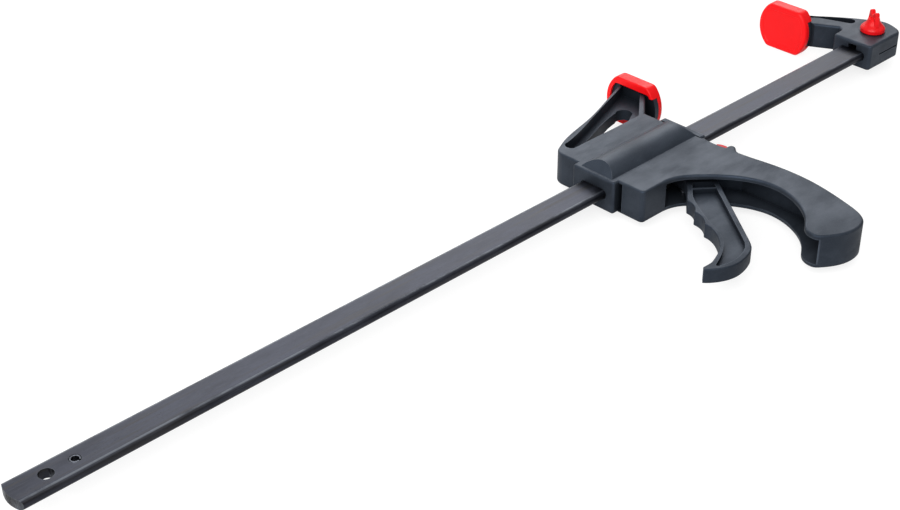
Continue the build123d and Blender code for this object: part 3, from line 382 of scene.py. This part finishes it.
def glossy_plastic(name, colour, deep, shine):
    """Coloured polypropylene, moulded in a mirror-finished tool: bright red, smooth, with slightly
    paler rubbed corners. Shine is how strongly it mirrors; handling makes it duller."""
    def surface(tree, place):
        cloud = blotches(tree, place, SKIN_WAVE, 3.0, 0.5)
        peel = blotches(tree, place, ORANGE_PEEL, 1.0)
        patchy = add(tree, "ShaderNodeMapRange", SMOOTH,
                     {"Value": cloud, "From Min": 0.3, "From Max": 0.7})
        skin = add(tree, "ShaderNodeMix", COLOUR,
                   {"Factor": patchy, "A": paint(deep), "B": paint(colour)})
        patchiness = add(tree, "ShaderNodeMath", MULTIPLY, {0: patchy, 1: 0.3})
        worn_highlit_edge = worn_and_highlit_edges(tree, STEEL_EDGE, patchiness)
        skin = add(tree, "ShaderNodeMix", COLOUR,
                   {"Factor": worn_highlit_edge, "A": skin, "B": paint(colour, 1.2)})
        gloss = add(tree, "ShaderNodeMapRange", SMOOTH,
                    {"Value": cloud, "From Min": 0.3, "From Max": 0.7,
                     "To Min": 0.26, "To Max": 0.36})
        skin_bump = add(tree, "ShaderNodeBump", None,
                        {"Height": peel, "Distance": PLASTIC_PEEL_HEIGHT, "Strength": 0.4})
        return add(tree, "ShaderNodeBsdfPrincipled", None,
                   {"Base Color": skin, "Roughness": gloss, "IOR": POLYPROPYLENE_IOR,
                    "Specular IOR Level": shine, "Normal": skin_bump})
    return finished(name, surface)


def plated_metal(name, colour, stain, rough, line_axis=(1, 1, 1)):
    """Bright zinc or oiled spring steel over turned or stamped metal: clouded reflections, fine
    tool lines and a darker bloom in patches."""
    def surface(tree, place):
        cloud = blotches(tree, place, PLATING_CLOUD, 4.0, 0.6)
        lines = blotches(tree, place, TOOL_LINE, 2.0, 0.6, line_axis)
        skin = spread(tree, paint(colour), cloud, 0.4, 0.75, 1.0, paint(stain))
        gloss = add(tree, "ShaderNodeMapRange", SMOOTH,
                    {"Value": cloud, "From Min": 0.3, "From Max": 0.7,
                     "To Min": rough - 0.06, "To Max": rough + 0.08})
        tooled = add(tree, "ShaderNodeBump", None,
                     {"Height": lines, "Distance": TOOLED_HEIGHT, "Strength": 0.5})
        return add(tree, "ShaderNodeBsdfPrincipled", None,
                   {"Base Color": skin, "Metallic": 1.0, "Roughness": gloss, "Normal": tooled})
    return finished(name, surface)


def dress(material, slot, *nodes):
    """Gives CAD pieces their finish."""
    for name in nodes:
        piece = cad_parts[name]
        piece.data.materials.clear()
        piece.data.materials.append(material)


# ---- meshes ---------------------------------------------------------------------------

def new_object(name, data):
    item = bpy.data.objects.new(name, data)
    bpy.context.scene.collection.objects.link(item)
    return item


def new_mesh(name, shell):
    """A mesh of what was built in a bmesh, which is freed."""
    mesh = bpy.data.meshes.new(name)
    shell.to_mesh(mesh)
    shell.free()
    return mesh


def new_piece(name, mesh, material):
    piece = new_object(name, mesh)
    if not mesh.materials:
        mesh.materials.append(material)
    return piece


def grow(name, tree, values):
    """Runs a geometry node tree with these input values and keeps the result as a plain mesh."""
    seed = new_object(name + "_seed", bpy.data.meshes.new(name + "_seed"))
    modifier = seed.modifiers.new(name, "NODES")
    modifier.node_group = tree
    for socket in tree.interface.items_tree:
        if socket.item_type == "SOCKET" and socket.in_out == "INPUT" and socket.name in values:
            modifier[socket.identifier] = values[socket.name]
    bpy.context.view_layer.update()
    graph = bpy.context.evaluated_depsgraph_get()
    mesh = bpy.data.meshes.new_from_object(seed.evaluated_get(graph), depsgraph=graph,
                                           preserve_all_data_layers=True)
    mesh.name = name
    seed.modifiers.clear()
    bpy.data.objects.remove(seed)
    return mesh


def new_tree(name, *numbers):
    """An empty geometry node tree with named number inputs and one geometry output."""
    tree = bpy.data.node_groups.new(name, "GeometryNodeTree")
    tree.interface.new_socket(name="Geometry", in_out="OUTPUT", socket_type="NodeSocketGeometry")
    for title in numbers:
        tree.interface.new_socket(name=title, in_out="INPUT", socket_type="NodeSocketFloat")
    return tree, add(tree, "NodeGroupInput").outputs


def end_tree(tree, geometry, material):
    """Ends a tree with real geometry, smooth shading and its material."""
    real = add(tree, "GeometryNodeRealizeInstances", None, {"Geometry": geometry})
    smooth = add(tree, "GeometryNodeSetShadeSmooth", None, {"Geometry": real})
    named = add(tree, "GeometryNodeSetMaterial", None, {"Geometry": smooth, "Material": material})
    add(tree, "NodeGroupOutput", None, {"Geometry": named})


def spring_tree(material):
    """A compression spring along +X from the origin, with dead coils closed at both ends."""
    tree, given = new_tree("coil_spring", "Mean Radius", "Wire Radius", "Length", "Turns",
                           "Dead Turns")
    helix = add(tree, "GeometryNodeCurveSpiral", None,
                {"Resolution": COIL_STEPS, "Rotations": given["Turns"], "Height": 0.0,
                 "Start Radius": given["Mean Radius"], "End Radius": given["Mean Radius"]})
    factor = add(tree, "GeometryNodeSplineParameter").outputs["Factor"]
    turn = add(tree, "ShaderNodeMath", MULTIPLY, {0: factor, 1: given["Turns"]})
    wire = add(tree, "ShaderNodeMath", MULTIPLY, {0: given["Wire Radius"], 1: 2.0})
    last = add(tree, "ShaderNodeMath", SUBTRACT, {0: given["Turns"], 1: given["Dead Turns"]})
    closed = add(tree, "ShaderNodeMath", MULTIPLY, {0: wire, 1: given["Dead Turns"]})
    between = add(tree, "ShaderNodeMath", SUBTRACT, {0: given["Length"], 1: wire})
    free = add(tree, "ShaderNodeMath", MULTIPLY_ADD, {0: closed, 1: -2.0, 2: between})
    first_turn = add(tree, "ShaderNodeMath", {"operation": "MINIMUM"},
                     {0: turn, 1: given["Dead Turns"]})
    beyond = add(tree, "ShaderNodeMath", SUBTRACT, {0: turn, 1: last})
    last_turn = add(tree, "ShaderNodeMath", MAXIMUM, {0: beyond, 1: 0.0})
    dead = add(tree, "ShaderNodeMath", {"operation": "ADD"}, {0: first_turn, 1: last_turn})
    middle = add(tree, "ShaderNodeMapRange", {"interpolation_type": "LINEAR"},
                 {"Value": turn, "From Min": given["Dead Turns"], "From Max": last,
                  "To Min": 0.0, "To Max": free})
    base = add(tree, "ShaderNodeMath", {"operation": "ADD"}, {0: middle, 1: given["Wire Radius"]})
    height = add(tree, "ShaderNodeMath", MULTIPLY_ADD, {0: dead, 1: wire, 2: base})
    lift = add(tree, "ShaderNodeCombineXYZ", None, {"Z": height})
    placed = add(tree, "GeometryNodeSetPosition", None, {"Geometry": helix, "Offset": lift})
    section = add(tree, "GeometryNodeCurvePrimitiveCircle", None,
                  {"Resolution": WIRE_STEPS, "Radius": given["Wire Radius"]})
    wire_mesh = add(tree, "GeometryNodeCurveToMesh", None,
                    {"Curve": placed, "Profile Curve": section, "Fill Caps": True})
    laid = add(tree, "GeometryNodeTransform", None,
               {"Geometry": wire_mesh, "Rotation": (0.0, math.pi / 2, 0.0)})
    end_tree(tree, laid, material)
    return tree


def thread_tree(material):
    """The ridge of a screw thread along +Z from the origin."""
    tree, given = new_tree("screw_thread", "Core Radius", "Depth", "Pitch", "Turns")
    rise = add(tree, "ShaderNodeMath", MULTIPLY, {0: given["Pitch"], 1: given["Turns"]})
    helix = add(tree, "GeometryNodeCurveSpiral", None,
                {"Resolution": THREAD_STEPS, "Rotations": given["Turns"], "Height": rise,
                 "Start Radius": given["Core Radius"], "End Radius": given["Core Radius"]})
    upright = add(tree, "GeometryNodeSetCurveNormal", {"mode": "Z_UP"}, {"Curve": helix})
    foot = add(tree, "ShaderNodeMath", MULTIPLY, {0: given["Pitch"], 1: THREAD_FOOT})
    crest = add(tree, "ShaderNodeMath", MULTIPLY, {0: given["Pitch"], 1: THREAD_CREST})
    outline = add(tree, "GeometryNodeCurvePrimitiveQuadrilateral", {"mode": "TRAPEZOID"},
                  {"Bottom Width": foot, "Top Width": crest, "Height": given["Depth"],
                   "Offset": 0.0})
    lean = add(tree, "GeometryNodeTransform", None,
               {"Geometry": outline, "Rotation": (0.0, 0.0, math.pi / 2)})
    ridge = add(tree, "GeometryNodeCurveToMesh", None,
                {"Curve": upright, "Profile Curve": lean, "Fill Caps": True})
    end_tree(tree, ridge, material)
    return tree


def lathe(profile, steps, name):
    """A closed solid of revolution about Z from (radius, height) points, first and last on the
    axis."""
    shell = bmesh.new()
    turns = [2 * math.pi * k / steps for k in range(steps)]
    rings = []
    for radius, height in profile:
        if radius == 0:
            rings.append([shell.verts.new((0, 0, height))])
            continue
        rings.append([shell.verts.new((radius * math.cos(turn), radius * math.sin(turn), height))
                      for turn in turns])
    for low, high in zip(rings, rings[1:]):
        for k in range(steps):
            corners = [low[k % len(low)], low[(k + 1) % len(low)],
                       high[(k + 1) % len(high)], high[k % len(high)]]
            shell.faces.new(dict.fromkeys(corners))
    bmesh.ops.recalc_face_normals(shell, faces=shell.faces)
    mesh = new_mesh(name, shell)
    mesh.shade_smooth()
    return mesh


def slotted_tube(outer, low, high, name):
    """A rolled tube about Z, open along one side, with chamfered rims."""
    inner = outer - STOP_PIN_WALL
    flat = outer - STOP_PIN_CHAMFER
    lead = STOP_PIN_LEAD * STOP_PIN_CHAMFER
    section = ((inner, low), (flat, low), (outer, low + lead),
               (outer, high - lead), (flat, high), (inner, high))
    gap = math.asin(STOP_PIN_SLOT / 2 / outer)
    shell = bmesh.new()
    rings = []
    for k in range(STOP_PIN_STEPS + 1):
        angle = STOP_PIN_TURN + gap + (2 * math.pi - 2 * gap) * k / STOP_PIN_STEPS
        rings.append([shell.verts.new((r * math.cos(angle), r * math.sin(angle), z))
                      for r, z in section])
    for ring, following in zip(rings, rings[1:]):
        for k in range(len(section)):
            after = (k + 1) % len(section)
            shell.faces.new((ring[k], ring[after], following[after], following[k]))
    shell.faces.new(rings[0])
    shell.faces.new(rings[-1])
    bmesh.ops.recalc_face_normals(shell, faces=shell.faces)
    return new_mesh(name, shell)


def pad_ring(radius, half_height, squeeze):
    """Points of a round outline cut flat above and below, with soft corners; squeeze flattens its
    lower half."""
    ring = []
    for k in range(PAD_STEPS):
        turn = 2 * math.pi * k / PAD_STEPS
        flat = (abs(math.sin(turn)) / half_height) ** PAD_CORNER
        reach = (radius ** -PAD_CORNER + flat) ** (-1 / PAD_CORNER)
        y = reach * math.cos(turn)
        ring.append((y if y > 0 else y * squeeze, reach * math.sin(turn)))
    return ring


def pad_rows(front, back, facing):
    """(inset, x) from the rim of the pad's dish, over both rounded edges, to its back."""
    rows = [(PAD_RIM + PAD_DISH, front - facing * PAD_DISH), (PAD_RIM, front)]
    bends = [math.pi / 2 * k / PAD_BENDS for k in range(PAD_BENDS + 1)]
    for bend in bends:
        rows.append((PAD_FACE_ROUND * (1 - math.sin(bend)),
                     front - facing * PAD_FACE_ROUND * (1 - math.cos(bend))))
    for bend in bends:
        rows.append((PAD_BACK_ROUND * (1 - math.cos(bend)),
                     back + facing * PAD_BACK_ROUND * (1 - math.sin(bend))))
    return rows


def pad_cap(low, high, facing, name):
    """A soft cap over a jaw plate that fills this box: a dished face with a well rounded edge, a
    skin that wraps the plate, a lip behind it and an opening towards the bar."""
    front, back = (high.x, low.x) if facing > 0 else (low.x, high.x)
    half_height = (high.z - low.z) / 2
    centre = Vector((0, high.y - PAD_RADIUS, (high.z + low.z) / 2))
    squeeze = (centre.y - low.y) / PAD_RADIUS
    plate_back = back + facing * PAD_SKIN
    plate_front = plate_back + facing * (PLATE_THICKNESS + PAD_GAP)
    plate_radius = PAD_RADIUS - PAD_SKIN

    rings = [(pad_ring(PAD_RADIUS - inset, half_height - inset, squeeze), x)
             for inset, x in pad_rows(front, back, facing)]
    mouth = pad_ring(plate_radius - PAD_LIP + PAD_SKIN, half_height - PAD_SKIN - PAD_LIP, 1.0)
    seat = pad_ring(plate_radius + PAD_GAP, half_height - PAD_SKIN + PAD_GAP, 1.0)
    lip = plate_back - facing * PAD_GAP
    rings += [(mouth, back), (mouth, lip), (seat, lip), (seat, plate_front)]

    shell = bmesh.new()
    loops = [[shell.verts.new((x, centre.y + y, centre.z + z)) for y, z in ring]
             for ring, x in rings]
    for loop, following in zip(loops, loops[1:]):
        for k in range(PAD_STEPS):
            after = (k + 1) % PAD_STEPS
            shell.faces.new((loop[k], loop[after], following[after], following[k]))
    for loop in (loops[0], loops[-1]):
        hub = shell.verts.new((loop[0].co.x, centre.y, centre.z))
        for k in range(PAD_STEPS):
            shell.faces.new((hub, loop[k], loop[(k + 1) % PAD_STEPS]))
    bmesh.ops.recalc_face_normals(shell, faces=shell.faces)

    cutter = bmesh.new()
    ends = sorted((back - facing * PAD_SKIN, plate_front))
    bmesh.ops.create_cube(cutter, size=1.0)
    for vert in cutter.verts:
        vert.co = Vector((ends[0] if vert.co.x < 0 else ends[1],
                          centre.y - (2 * PAD_RADIUS if vert.co.y < 0 else PAD_MOUTH / 2),
                          centre.z + PAD_MOUTH * vert.co.z))
    mesh = cut(new_mesh(name + "_whole", shell), new_mesh(name + "_opening", cutter), name)
    mesh.shade_smooth()
    mesh.set_sharp_from_angle(angle=PAD_CREASE)
    return mesh


def cut(whole, tool, name):
    """One closed mesh less another."""
    body = new_object(name + "_body", whole)
    knife = new_object(name + "_knife", tool)
    modifier = body.modifiers.new("cut", "BOOLEAN")
    modifier.operation = "DIFFERENCE"
    modifier.solver = "EXACT"
    modifier.object = knife
    bpy.context.view_layer.update()
    graph = bpy.context.evaluated_depsgraph_get()
    mesh = bpy.data.meshes.new_from_object(body.evaluated_get(graph), depsgraph=graph)
    mesh.name = name
    body.modifiers.clear()
    for item in (body, knife):
        bpy.data.objects.remove(item)
    for used in (whole, tool):
        bpy.data.meshes.remove(used)
    return mesh


def join_meshes(name, *parts):
    """One mesh from several (mesh, matrix) pairs."""
    whole = bmesh.new()
    for mesh, matrix in parts:
        moved = mesh.copy()
        moved.transform(matrix)
        whole.from_mesh(moved)
        bpy.data.meshes.remove(moved)
    mesh = new_mesh(name, whole)
    for used in parts[0][0].materials:
        mesh.materials.append(used)
    return mesh


# ---- properties -----------------------------------------------------------------------

def colour_property(name, description, code):
    return FloatVectorProperty(name=name, description=description, default=linear(code),
                               size=3, min=0.0, max=1.0, subtype="COLOR")


class ClampColours(bpy.types.PropertyGroup):
    nylon: colour_property("Nylon", "Slate-grey nylon of the head, grip and fixed jaw", "#262A30")
    # The rubbed nylon colour is also that of the painted highlight along the nylon's edges.
    nylon_worn: colour_property("Rubbed nylon", "Nylon where edges are rubbed", "#4C525B")
    trigger: colour_property("Trigger", "Nylon of the trigger", "#22262C")
    steel: colour_property("Bar", "Black oxide on the bar", "#373941")
    # Also the colour of the painted highlight along the bar's rounded shoulders.
    steel_bare: colour_property("Bare steel", "Steel where the oxide is worn", "#62666C")
    steel_warm: colour_property("Warm streaks", "Brownish streaks of the oxide", "#3A3835")
    pad: colour_property("Pads", "Soft vinyl of the pads", "#F81218")
    pad_deep: colour_property("Pads, deep", "Darker clouds in the vinyl", "#EE1016")
    knob: colour_property("Knob", "Plastic of the knob", "#EA151B")
    knob_deep: colour_property("Knob, deep", "Darker clouds in the plastic", "#DA1117")
    button: colour_property("Button", "Plastic of the release button", "#CC1820")
    button_deep: colour_property("Button, deep", "Darker clouds in the button's plastic", "#BE141C")
    zinc: colour_property("Zinc", "Zinc plating of washer, screws and pin", "#C6C9CE")
    zinc_stain: colour_property("Zinc stain", "Dull patches of the plating", "#8F9298")
    spring: colour_property("Spring steel", "Oiled spring steel", "#565961")
    spring_stain: colour_property("Spring stain", "Dark patches of the spring steel", "#35373C")
    plate: colour_property("Hardened plate", "Hardened steel plates", "#6B6965")
    plate_stain: colour_property("Plate scale", "Heat scale on the plates", "#45434A")


class ClampSizes(bpy.types.PropertyGroup):
    spring_dead_turns: FloatProperty(name="Dead turns", default=1.0, min=0.0, max=3.0,
                                     description="Closed turns at each spring end")
    drive_turns: FloatProperty(name="Drive spring turns", description="Turns of the drive spring",
                               default=8.0, min=3.0, max=14.0)
    brake_turns: FloatProperty(name="Brake spring turns", description="Turns of the brake spring",
                               default=7.0, min=3.0, max=14.0)
    drive_wire: FloatProperty(name="Drive wire", description="Wire diameter of the drive spring",
                              default=1.5 * MM, unit="LENGTH", precision=5)
    brake_wire: FloatProperty(name="Brake wire", description="Wire diameter of the brake spring",
                              default=1.3 * MM, unit="LENGTH", precision=5)
    thread_pitch: FloatProperty(name="Thread pitch", description="Pitch of the locking screw",
                                default=1.25 * MM, unit="LENGTH", precision=5)
    thread_depth: FloatProperty(name="Thread depth", description="Height of the thread's ridge",
                                default=0.66 * MM, unit="LENGTH", precision=5)


class ClampStage(bpy.types.PropertyGroup):
    key_power: FloatProperty(name="Key light", default=17.8, min=0.0, unit="POWER",
                             description="Power of the softbox behind the clamp")
    fill_power: FloatProperty(name="Fill light", default=63.0, min=0.0, unit="POWER",
                              description="Power of the softbox behind the camera")
    ambient: FloatProperty(name="Ambient", description="Strength of the room's own light",
                           default=0.3, min=0.0, max=2.0)
    floor_glow: FloatProperty(name="Floor white", default=0.82, min=0.0, max=1.0,
                              description="How much of the seen floor is plain white")


def settings():
    scene = bpy.context.scene
    return scene.clamp_colours, scene.clamp_sizes, scene.clamp_stage


# ---- operators ------------------------------------------------------------------------

class CLAMP_OT_stage(bpy.types.Operator):
    """Build the floor, the lights and the camera"""
    bl_idname = "clamp.stage"
    bl_label = "Stage"

    def floor(self, glow):
        height = cad_box[0].z
        mesh = bpy.data.meshes.new("floor")
        corners = [(x * FLOOR_HALF, y * FLOOR_HALF, height)
                   for x, y in ((-1, -1), (1, -1), (1, 1), (-1, 1))]
        mesh.from_pydata(corners, [], [(0, 1, 2, 3)])

        def white_paper(tree, place):
            path = add(tree, "ShaderNodeLightPath").outputs
            mirrored = add(tree, "ShaderNodeMath", MAXIMUM,
                           {0: path["Is Glossy Ray"], 1: path["Is Transmission Ray"]})
            seen = add(tree, "ShaderNodeMath", MAXIMUM,
                       {0: path["Is Camera Ray"], 1: mirrored})
            level = add(tree, "ShaderNodeMix", None,
                        {"Factor": mirrored, "A": glow, "B": MIRRORED_FLOOR})
            plain = add(tree, "ShaderNodeBsdfDiffuse", None, {"Color": FLOOR_PAPER})
            shade = add(tree, "ShaderNodeBsdfDiffuse", None, {"Color": FLOOR_SHADE})
            white = add(tree, "ShaderNodeEmission", None, {"Color": WHITE, "Strength": level})
            bright = add(tree, "ShaderNodeAddShader", None, {0: shade, 1: white})
            return add(tree, "ShaderNodeMixShader", None, {0: seen, 1: plain, 2: bright})

        mesh.materials.append(finished("white_paper", white_paper))
        floor = new_object("floor", mesh)

    def room(self, ambient):
        """White to the camera; in reflections a white backdrop and ceiling, and a dark room."""
        world = bpy.data.worlds.new("studio")
        world.use_nodes = True
        tree = world.node_tree
        tree.nodes.clear()
        path = add(tree, "ShaderNodeLightPath").outputs
        aim = add(tree, "ShaderNodeTexCoord").outputs["Generated"]
        towards = add(tree, "ShaderNodeVectorMath", DOT_PRODUCT,
                      {0: aim, 1: (math.cos(BACKDROP_HEADING), math.sin(BACKDROP_HEADING), 0.0)})
        backdrop = add(tree, "ShaderNodeMapRange", SMOOTH,
                       {"Value": towards, "From Min": BACKDROP_SPREAD[0],
                        "From Max": BACKDROP_SPREAD[1], "To Min": DARK_ROOM, "To Max": 1.0})
        lift = add(tree, "ShaderNodeSeparateXYZ", None, {0: aim}).outputs["Z"]
        ceiling = add(tree, "ShaderNodeMapRange", SMOOTH,
                      {"Value": lift, "From Min": CEILING_LIFT[0], "From Max": CEILING_LIFT[1],
                       "To Min": DARK_ROOM, "To Max": CEILING})
        around = add(tree, "ShaderNodeMath", MAXIMUM, {0: backdrop, 1: ceiling})
        mirrored = add(tree, "ShaderNodeMath", MAXIMUM,
                       {0: path["Is Glossy Ray"], 1: path["Is Transmission Ray"]})
        room = add(tree, "ShaderNodeMix", None, {"Factor": mirrored, "A": ambient, "B": around})
        strength = add(tree, "ShaderNodeMix", None,
                       {"Factor": path["Is Camera Ray"], "A": room, "B": 1.0})
        sky = add(tree, "ShaderNodeBackground", None, {"Color": WHITE, "Strength": strength})
        add(tree, "ShaderNodeOutputWorld", None, {"Surface": sky})
        bpy.context.scene.world = world

    def softbox(self, name, heading, lift, distance, size, power):
        centre = (cad_box[0] + cad_box[1]) / 2
        away = Vector((math.cos(heading) * math.cos(lift), math.sin(heading) * math.cos(lift),
                       math.sin(lift)))
        data = bpy.data.lights.new(name, "AREA")
        data.shape = "RECTANGLE"
        data.size, data.size_y = size
        data.energy = power
        lamp = new_object(name, data)
        lamp.location = centre + away * distance
        lamp.rotation_euler = away.to_track_quat("Z", "Y").to_euler()
        lamp.visible_camera = False

    def camera(self):
        data = bpy.data.cameras.new("camera")
        data.sensor_width = CAMERA_SENSOR
        data.lens = CAMERA_LENS
        data.shift_x, data.shift_y = CAMERA_SHIFT
        data.clip_start, data.clip_end = CAMERA_CLIP
        camera = new_object("camera", data)
        ahead = Vector((math.cos(CAMERA_HEADING) * math.cos(CAMERA_DROP),
                        math.sin(CAMERA_HEADING) * math.cos(CAMERA_DROP), -math.sin(CAMERA_DROP)))
        level = (-ahead).to_track_quat("Z", "Y").to_matrix()
        turned = level @ Matrix.Rotation(CAMERA_ROLL, 3, "Z")
        camera.matrix_world = Matrix.Translation(CAMERA_PLACE) @ turned.to_4x4()
        bpy.context.scene.camera = camera

    def execute(self, context):
        stage = settings()[2]
        self.floor(stage.floor_glow)
        self.room(stage.ambient)
        self.softbox("key_softbox", KEY_HEADING, KEY_LIFT, KEY_DISTANCE, KEY_SIZE,
                     stage.key_power)
        self.softbox("fill_softbox", FILL_HEADING, FILL_LIFT, FILL_DISTANCE, FILL_SIZE,
                     stage.fill_power)
        self.camera()
        context.scene.view_settings.view_transform = "Standard"
        return {"FINISHED"}


class CLAMP_OT_mouldings(bpy.types.Operator):
    """Finish the nylon mouldings: sliding body, its end cap, the fixed jaw and the trigger"""
    bl_idname = "clamp.mouldings"
    bl_label = "Nylon mouldings"

    def execute(self, context):
        colours = settings()[0]
        body = moulded_nylon("glass_filled_nylon", colours.nylon, colours.nylon_worn,
                             roughness=0.46)
        dress(body, "body_nylon", "sliding_body", "rear_end_cap", "fixed_jaw")
        lever = moulded_nylon("trigger_nylon", colours.trigger, colours.nylon_worn,
                              roughness=0.52, grain=0.7)
        dress(lever, "trigger_nylon", "trigger")
        return {"FINISHED"}


class CLAMP_OT_bar(bpy.types.Operator):
    """Finish the steel bar and its slotted stop pin"""
    bl_idname = "clamp.bar"
    bl_label = "Bar and stop pin"

    def execute(self, context):
        colours = settings()[0]
        oxide = blackened_steel("black_oxide_steel", colours.steel, colours.steel_bare,
                                colours.steel_warm)
        dress(oxide, "bar_steel", "bar")
        steel = plated_metal("oiled_spring_steel", colours.spring, colours.spring_stain,
                             rough=0.36, line_axis=(1, 1, 8))
        low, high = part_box("stop_roll_pin")
        outer = (high.x - low.x) / 2
        mesh = slotted_tube(outer, low.z, high.z, "stop_pin_rolled")
        mesh.transform(Matrix.Translation(((low.x + high.x) / 2, (low.y + high.y) / 2, 0)))
        piece = new_piece("stop_pin_rolled", mesh, steel)
        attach(piece, "bar_frame")
        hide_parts("stop_roll_pin")
        return {"FINISHED"}


class CLAMP_OT_pads(bpy.types.Operator):
    """Mould the two soft pads over the jaw plates"""
    bl_idname = "clamp.pads"
    bl_label = "Pads"

    def execute(self, context):
        colours = settings()[0]
        vinyl = soft_vinyl("soft_vinyl", colours.pad, colours.pad_deep)
        for node, body, facing in (("moving_pad", "sliding_head", 1),
                                   ("fixed_pad", "bar_frame", -1)):
            name = node + "_cap"
            piece = new_piece(name, pad_cap(*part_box(node), facing, name), vinyl)
            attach(piece, body)
            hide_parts(node)
        return {"FINISHED"}


class CLAMP_OT_controls(bpy.types.Operator):
    """Finish the wing knob and the release button"""
    bl_idname = "clamp.controls"
    bl_label = "Knob and button"

    def execute(self, context):
        colours = settings()[0]
        knob = glossy_plastic("mirror_finish_polypropylene", colours.knob, colours.knob_deep,
                              shine=0.2)
        dress(knob, "red_plastic", "locking_knob")
        button = glossy_plastic("handled_polypropylene", colours.button, colours.button_deep,
                                shine=0.09)
        dress(button, "red_plastic", "release_button")
        return {"FINISHED"}


class CLAMP_OT_hardware(bpy.types.Operator):
    """Finish the washer, nut, screws, pivot pin, spring seat and clutch plates"""
    bl_idname = "clamp.hardware"
    bl_label = "Hardware"

    def execute(self, context):
        colours = settings()[0]
        zinc = plated_metal("bright_zinc", colours.zinc, colours.zinc_stain, rough=0.3)
        dress(zinc, "zinc_steel", "knob_washer", "lock_nut", "end_cap_screws",
              "trigger_pivot_pin", "brake_spring_seat")
        plate = plated_metal("hardened_plate_steel", colours.plate, colours.plate_stain,
                             rough=0.38, line_axis=(1, 12, 1))
        dress(plate, "hardened_plate", "drive_plate_front", "drive_plate_rear", "brake_lever")
        return {"FINISHED"}


class CLAMP_OT_springs(bpy.types.Operator):
    """Wind the two springs round the bar"""
    bl_idname = "clamp.springs"
    bl_label = "Springs"

    def execute(self, context):
        colours, sizes = settings()[:2]
        steel = plated_metal("drawn_spring_wire", colours.spring, colours.spring_stain,
                             rough=0.32)
        tree = spring_tree(steel)
        for node, turns, wire in (("drive_spring", sizes.drive_turns, sizes.drive_wire),
                                  ("brake_spring", sizes.brake_turns, sizes.brake_wire)):
            low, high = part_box(node)
            mesh = grow(node + "_wire", tree,
                        {"Mean Radius": (high.z - low.z - wire) / 2, "Wire Radius": wire / 2,
                         "Length": high.x - low.x, "Turns": turns,
                         "Dead Turns": sizes.spring_dead_turns})
            mesh.transform(Matrix.Translation((low.x, (low.y + high.y) / 2, (low.z + high.z) / 2)))
            piece = new_piece(node + "_wire", mesh, steel)
            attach(piece, "sliding_head")
            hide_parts(node)
            if node == "drive_spring":
                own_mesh(piece)
        return {"FINISHED"}


class CLAMP_OT_lock_screw(bpy.types.Operator):
    """Cut the thread of the locking screw"""
    bl_idname = "clamp.lock_screw"
    bl_label = "Locking screw"

    def execute(self, context):
        colours, sizes = settings()[:2]
        zinc = plated_metal("rolled_thread_zinc", colours.zinc, colours.zinc_stain, rough=0.28)
        low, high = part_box("lock_screw")
        radius = (high.x - low.x) / 2
        core = radius - sizes.thread_depth
        end = radius - SCREW_RELIEF
        height = high.z - low.z
        profile = ((0, 0), (end - SCREW_POINT, 0), (end, SCREW_POINT), (end, SCREW_PLAIN),
                   (core, SCREW_PLAIN + SCREW_RELIEF), (core, height), (0, height))
        shank = lathe(profile, SCREW_STEPS, "lock_screw_core")
        turns = (height - SCREW_PLAIN - 2 * sizes.thread_pitch) / sizes.thread_pitch
        ridge = grow("lock_screw_thread", thread_tree(zinc),
                     {"Core Radius": core + sizes.thread_depth / 2 - THREAD_SINK,
                      "Depth": sizes.thread_depth, "Pitch": sizes.thread_pitch, "Turns": turns})
        shank.materials.append(zinc)
        lift = Matrix.Translation((0, 0, SCREW_PLAIN + sizes.thread_pitch))
        whole = join_meshes("lock_screw_threaded", (shank, Matrix.Identity(4)), (ridge, lift))
        whole.transform(Matrix.Translation(((low.x + high.x) / 2, (low.y + high.y) / 2, low.z)))
        piece = new_piece("lock_screw_threaded", whole, zinc)
        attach(piece, "lock_knob")
        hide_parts("lock_screw")
        return {"FINISHED"}


# ---- panel and registration -----------------------------------------------------------

OPERATORS = (CLAMP_OT_stage, CLAMP_OT_mouldings, CLAMP_OT_bar, CLAMP_OT_pads, CLAMP_OT_controls,
             CLAMP_OT_hardware, CLAMP_OT_springs, CLAMP_OT_lock_screw)


class CLAMP_PT_panel(bpy.types.Panel):
    bl_idname = "CLAMP_PT_panel"
    bl_label = "Bar clamp"
    bl_space_type = "VIEW_3D"
    bl_region_type = "UI"
    bl_category = "Bar clamp"

    def draw(self, context):
        for operator in OPERATORS:
            self.layout.operator(operator.bl_idname)
        for group in settings():
            for name in group.bl_rna.properties.keys():
                if name not in ("rna_type", "name"):
                    self.layout.prop(group, name)


CLASSES = (ClampColours, ClampSizes, ClampStage, *OPERATORS, CLAMP_PT_panel)


def register():
    for item in CLASSES:
        bpy.utils.register_class(item)
    bpy.types.Scene.clamp_colours = PointerProperty(type=ClampColours)
    bpy.types.Scene.clamp_sizes = PointerProperty(type=ClampSizes)
    bpy.types.Scene.clamp_stage = PointerProperty(type=ClampStage)


def unregister():
    del bpy.types.Scene.clamp_stage
    del bpy.types.Scene.clamp_sizes
    del bpy.types.Scene.clamp_colours
    for item in reversed(CLASSES):
        bpy.utils.unregister_class(item)


def main():
    register()
    bpy.ops.clamp.stage()
    bpy.ops.clamp.mouldings()
    bpy.ops.clamp.bar()
    bpy.ops.clamp.pads()
    bpy.ops.clamp.controls()
    bpy.ops.clamp.hardware()
    bpy.ops.clamp.springs()
    bpy.ops.clamp.lock_screw()


if __name__ == "__main__":
    main()
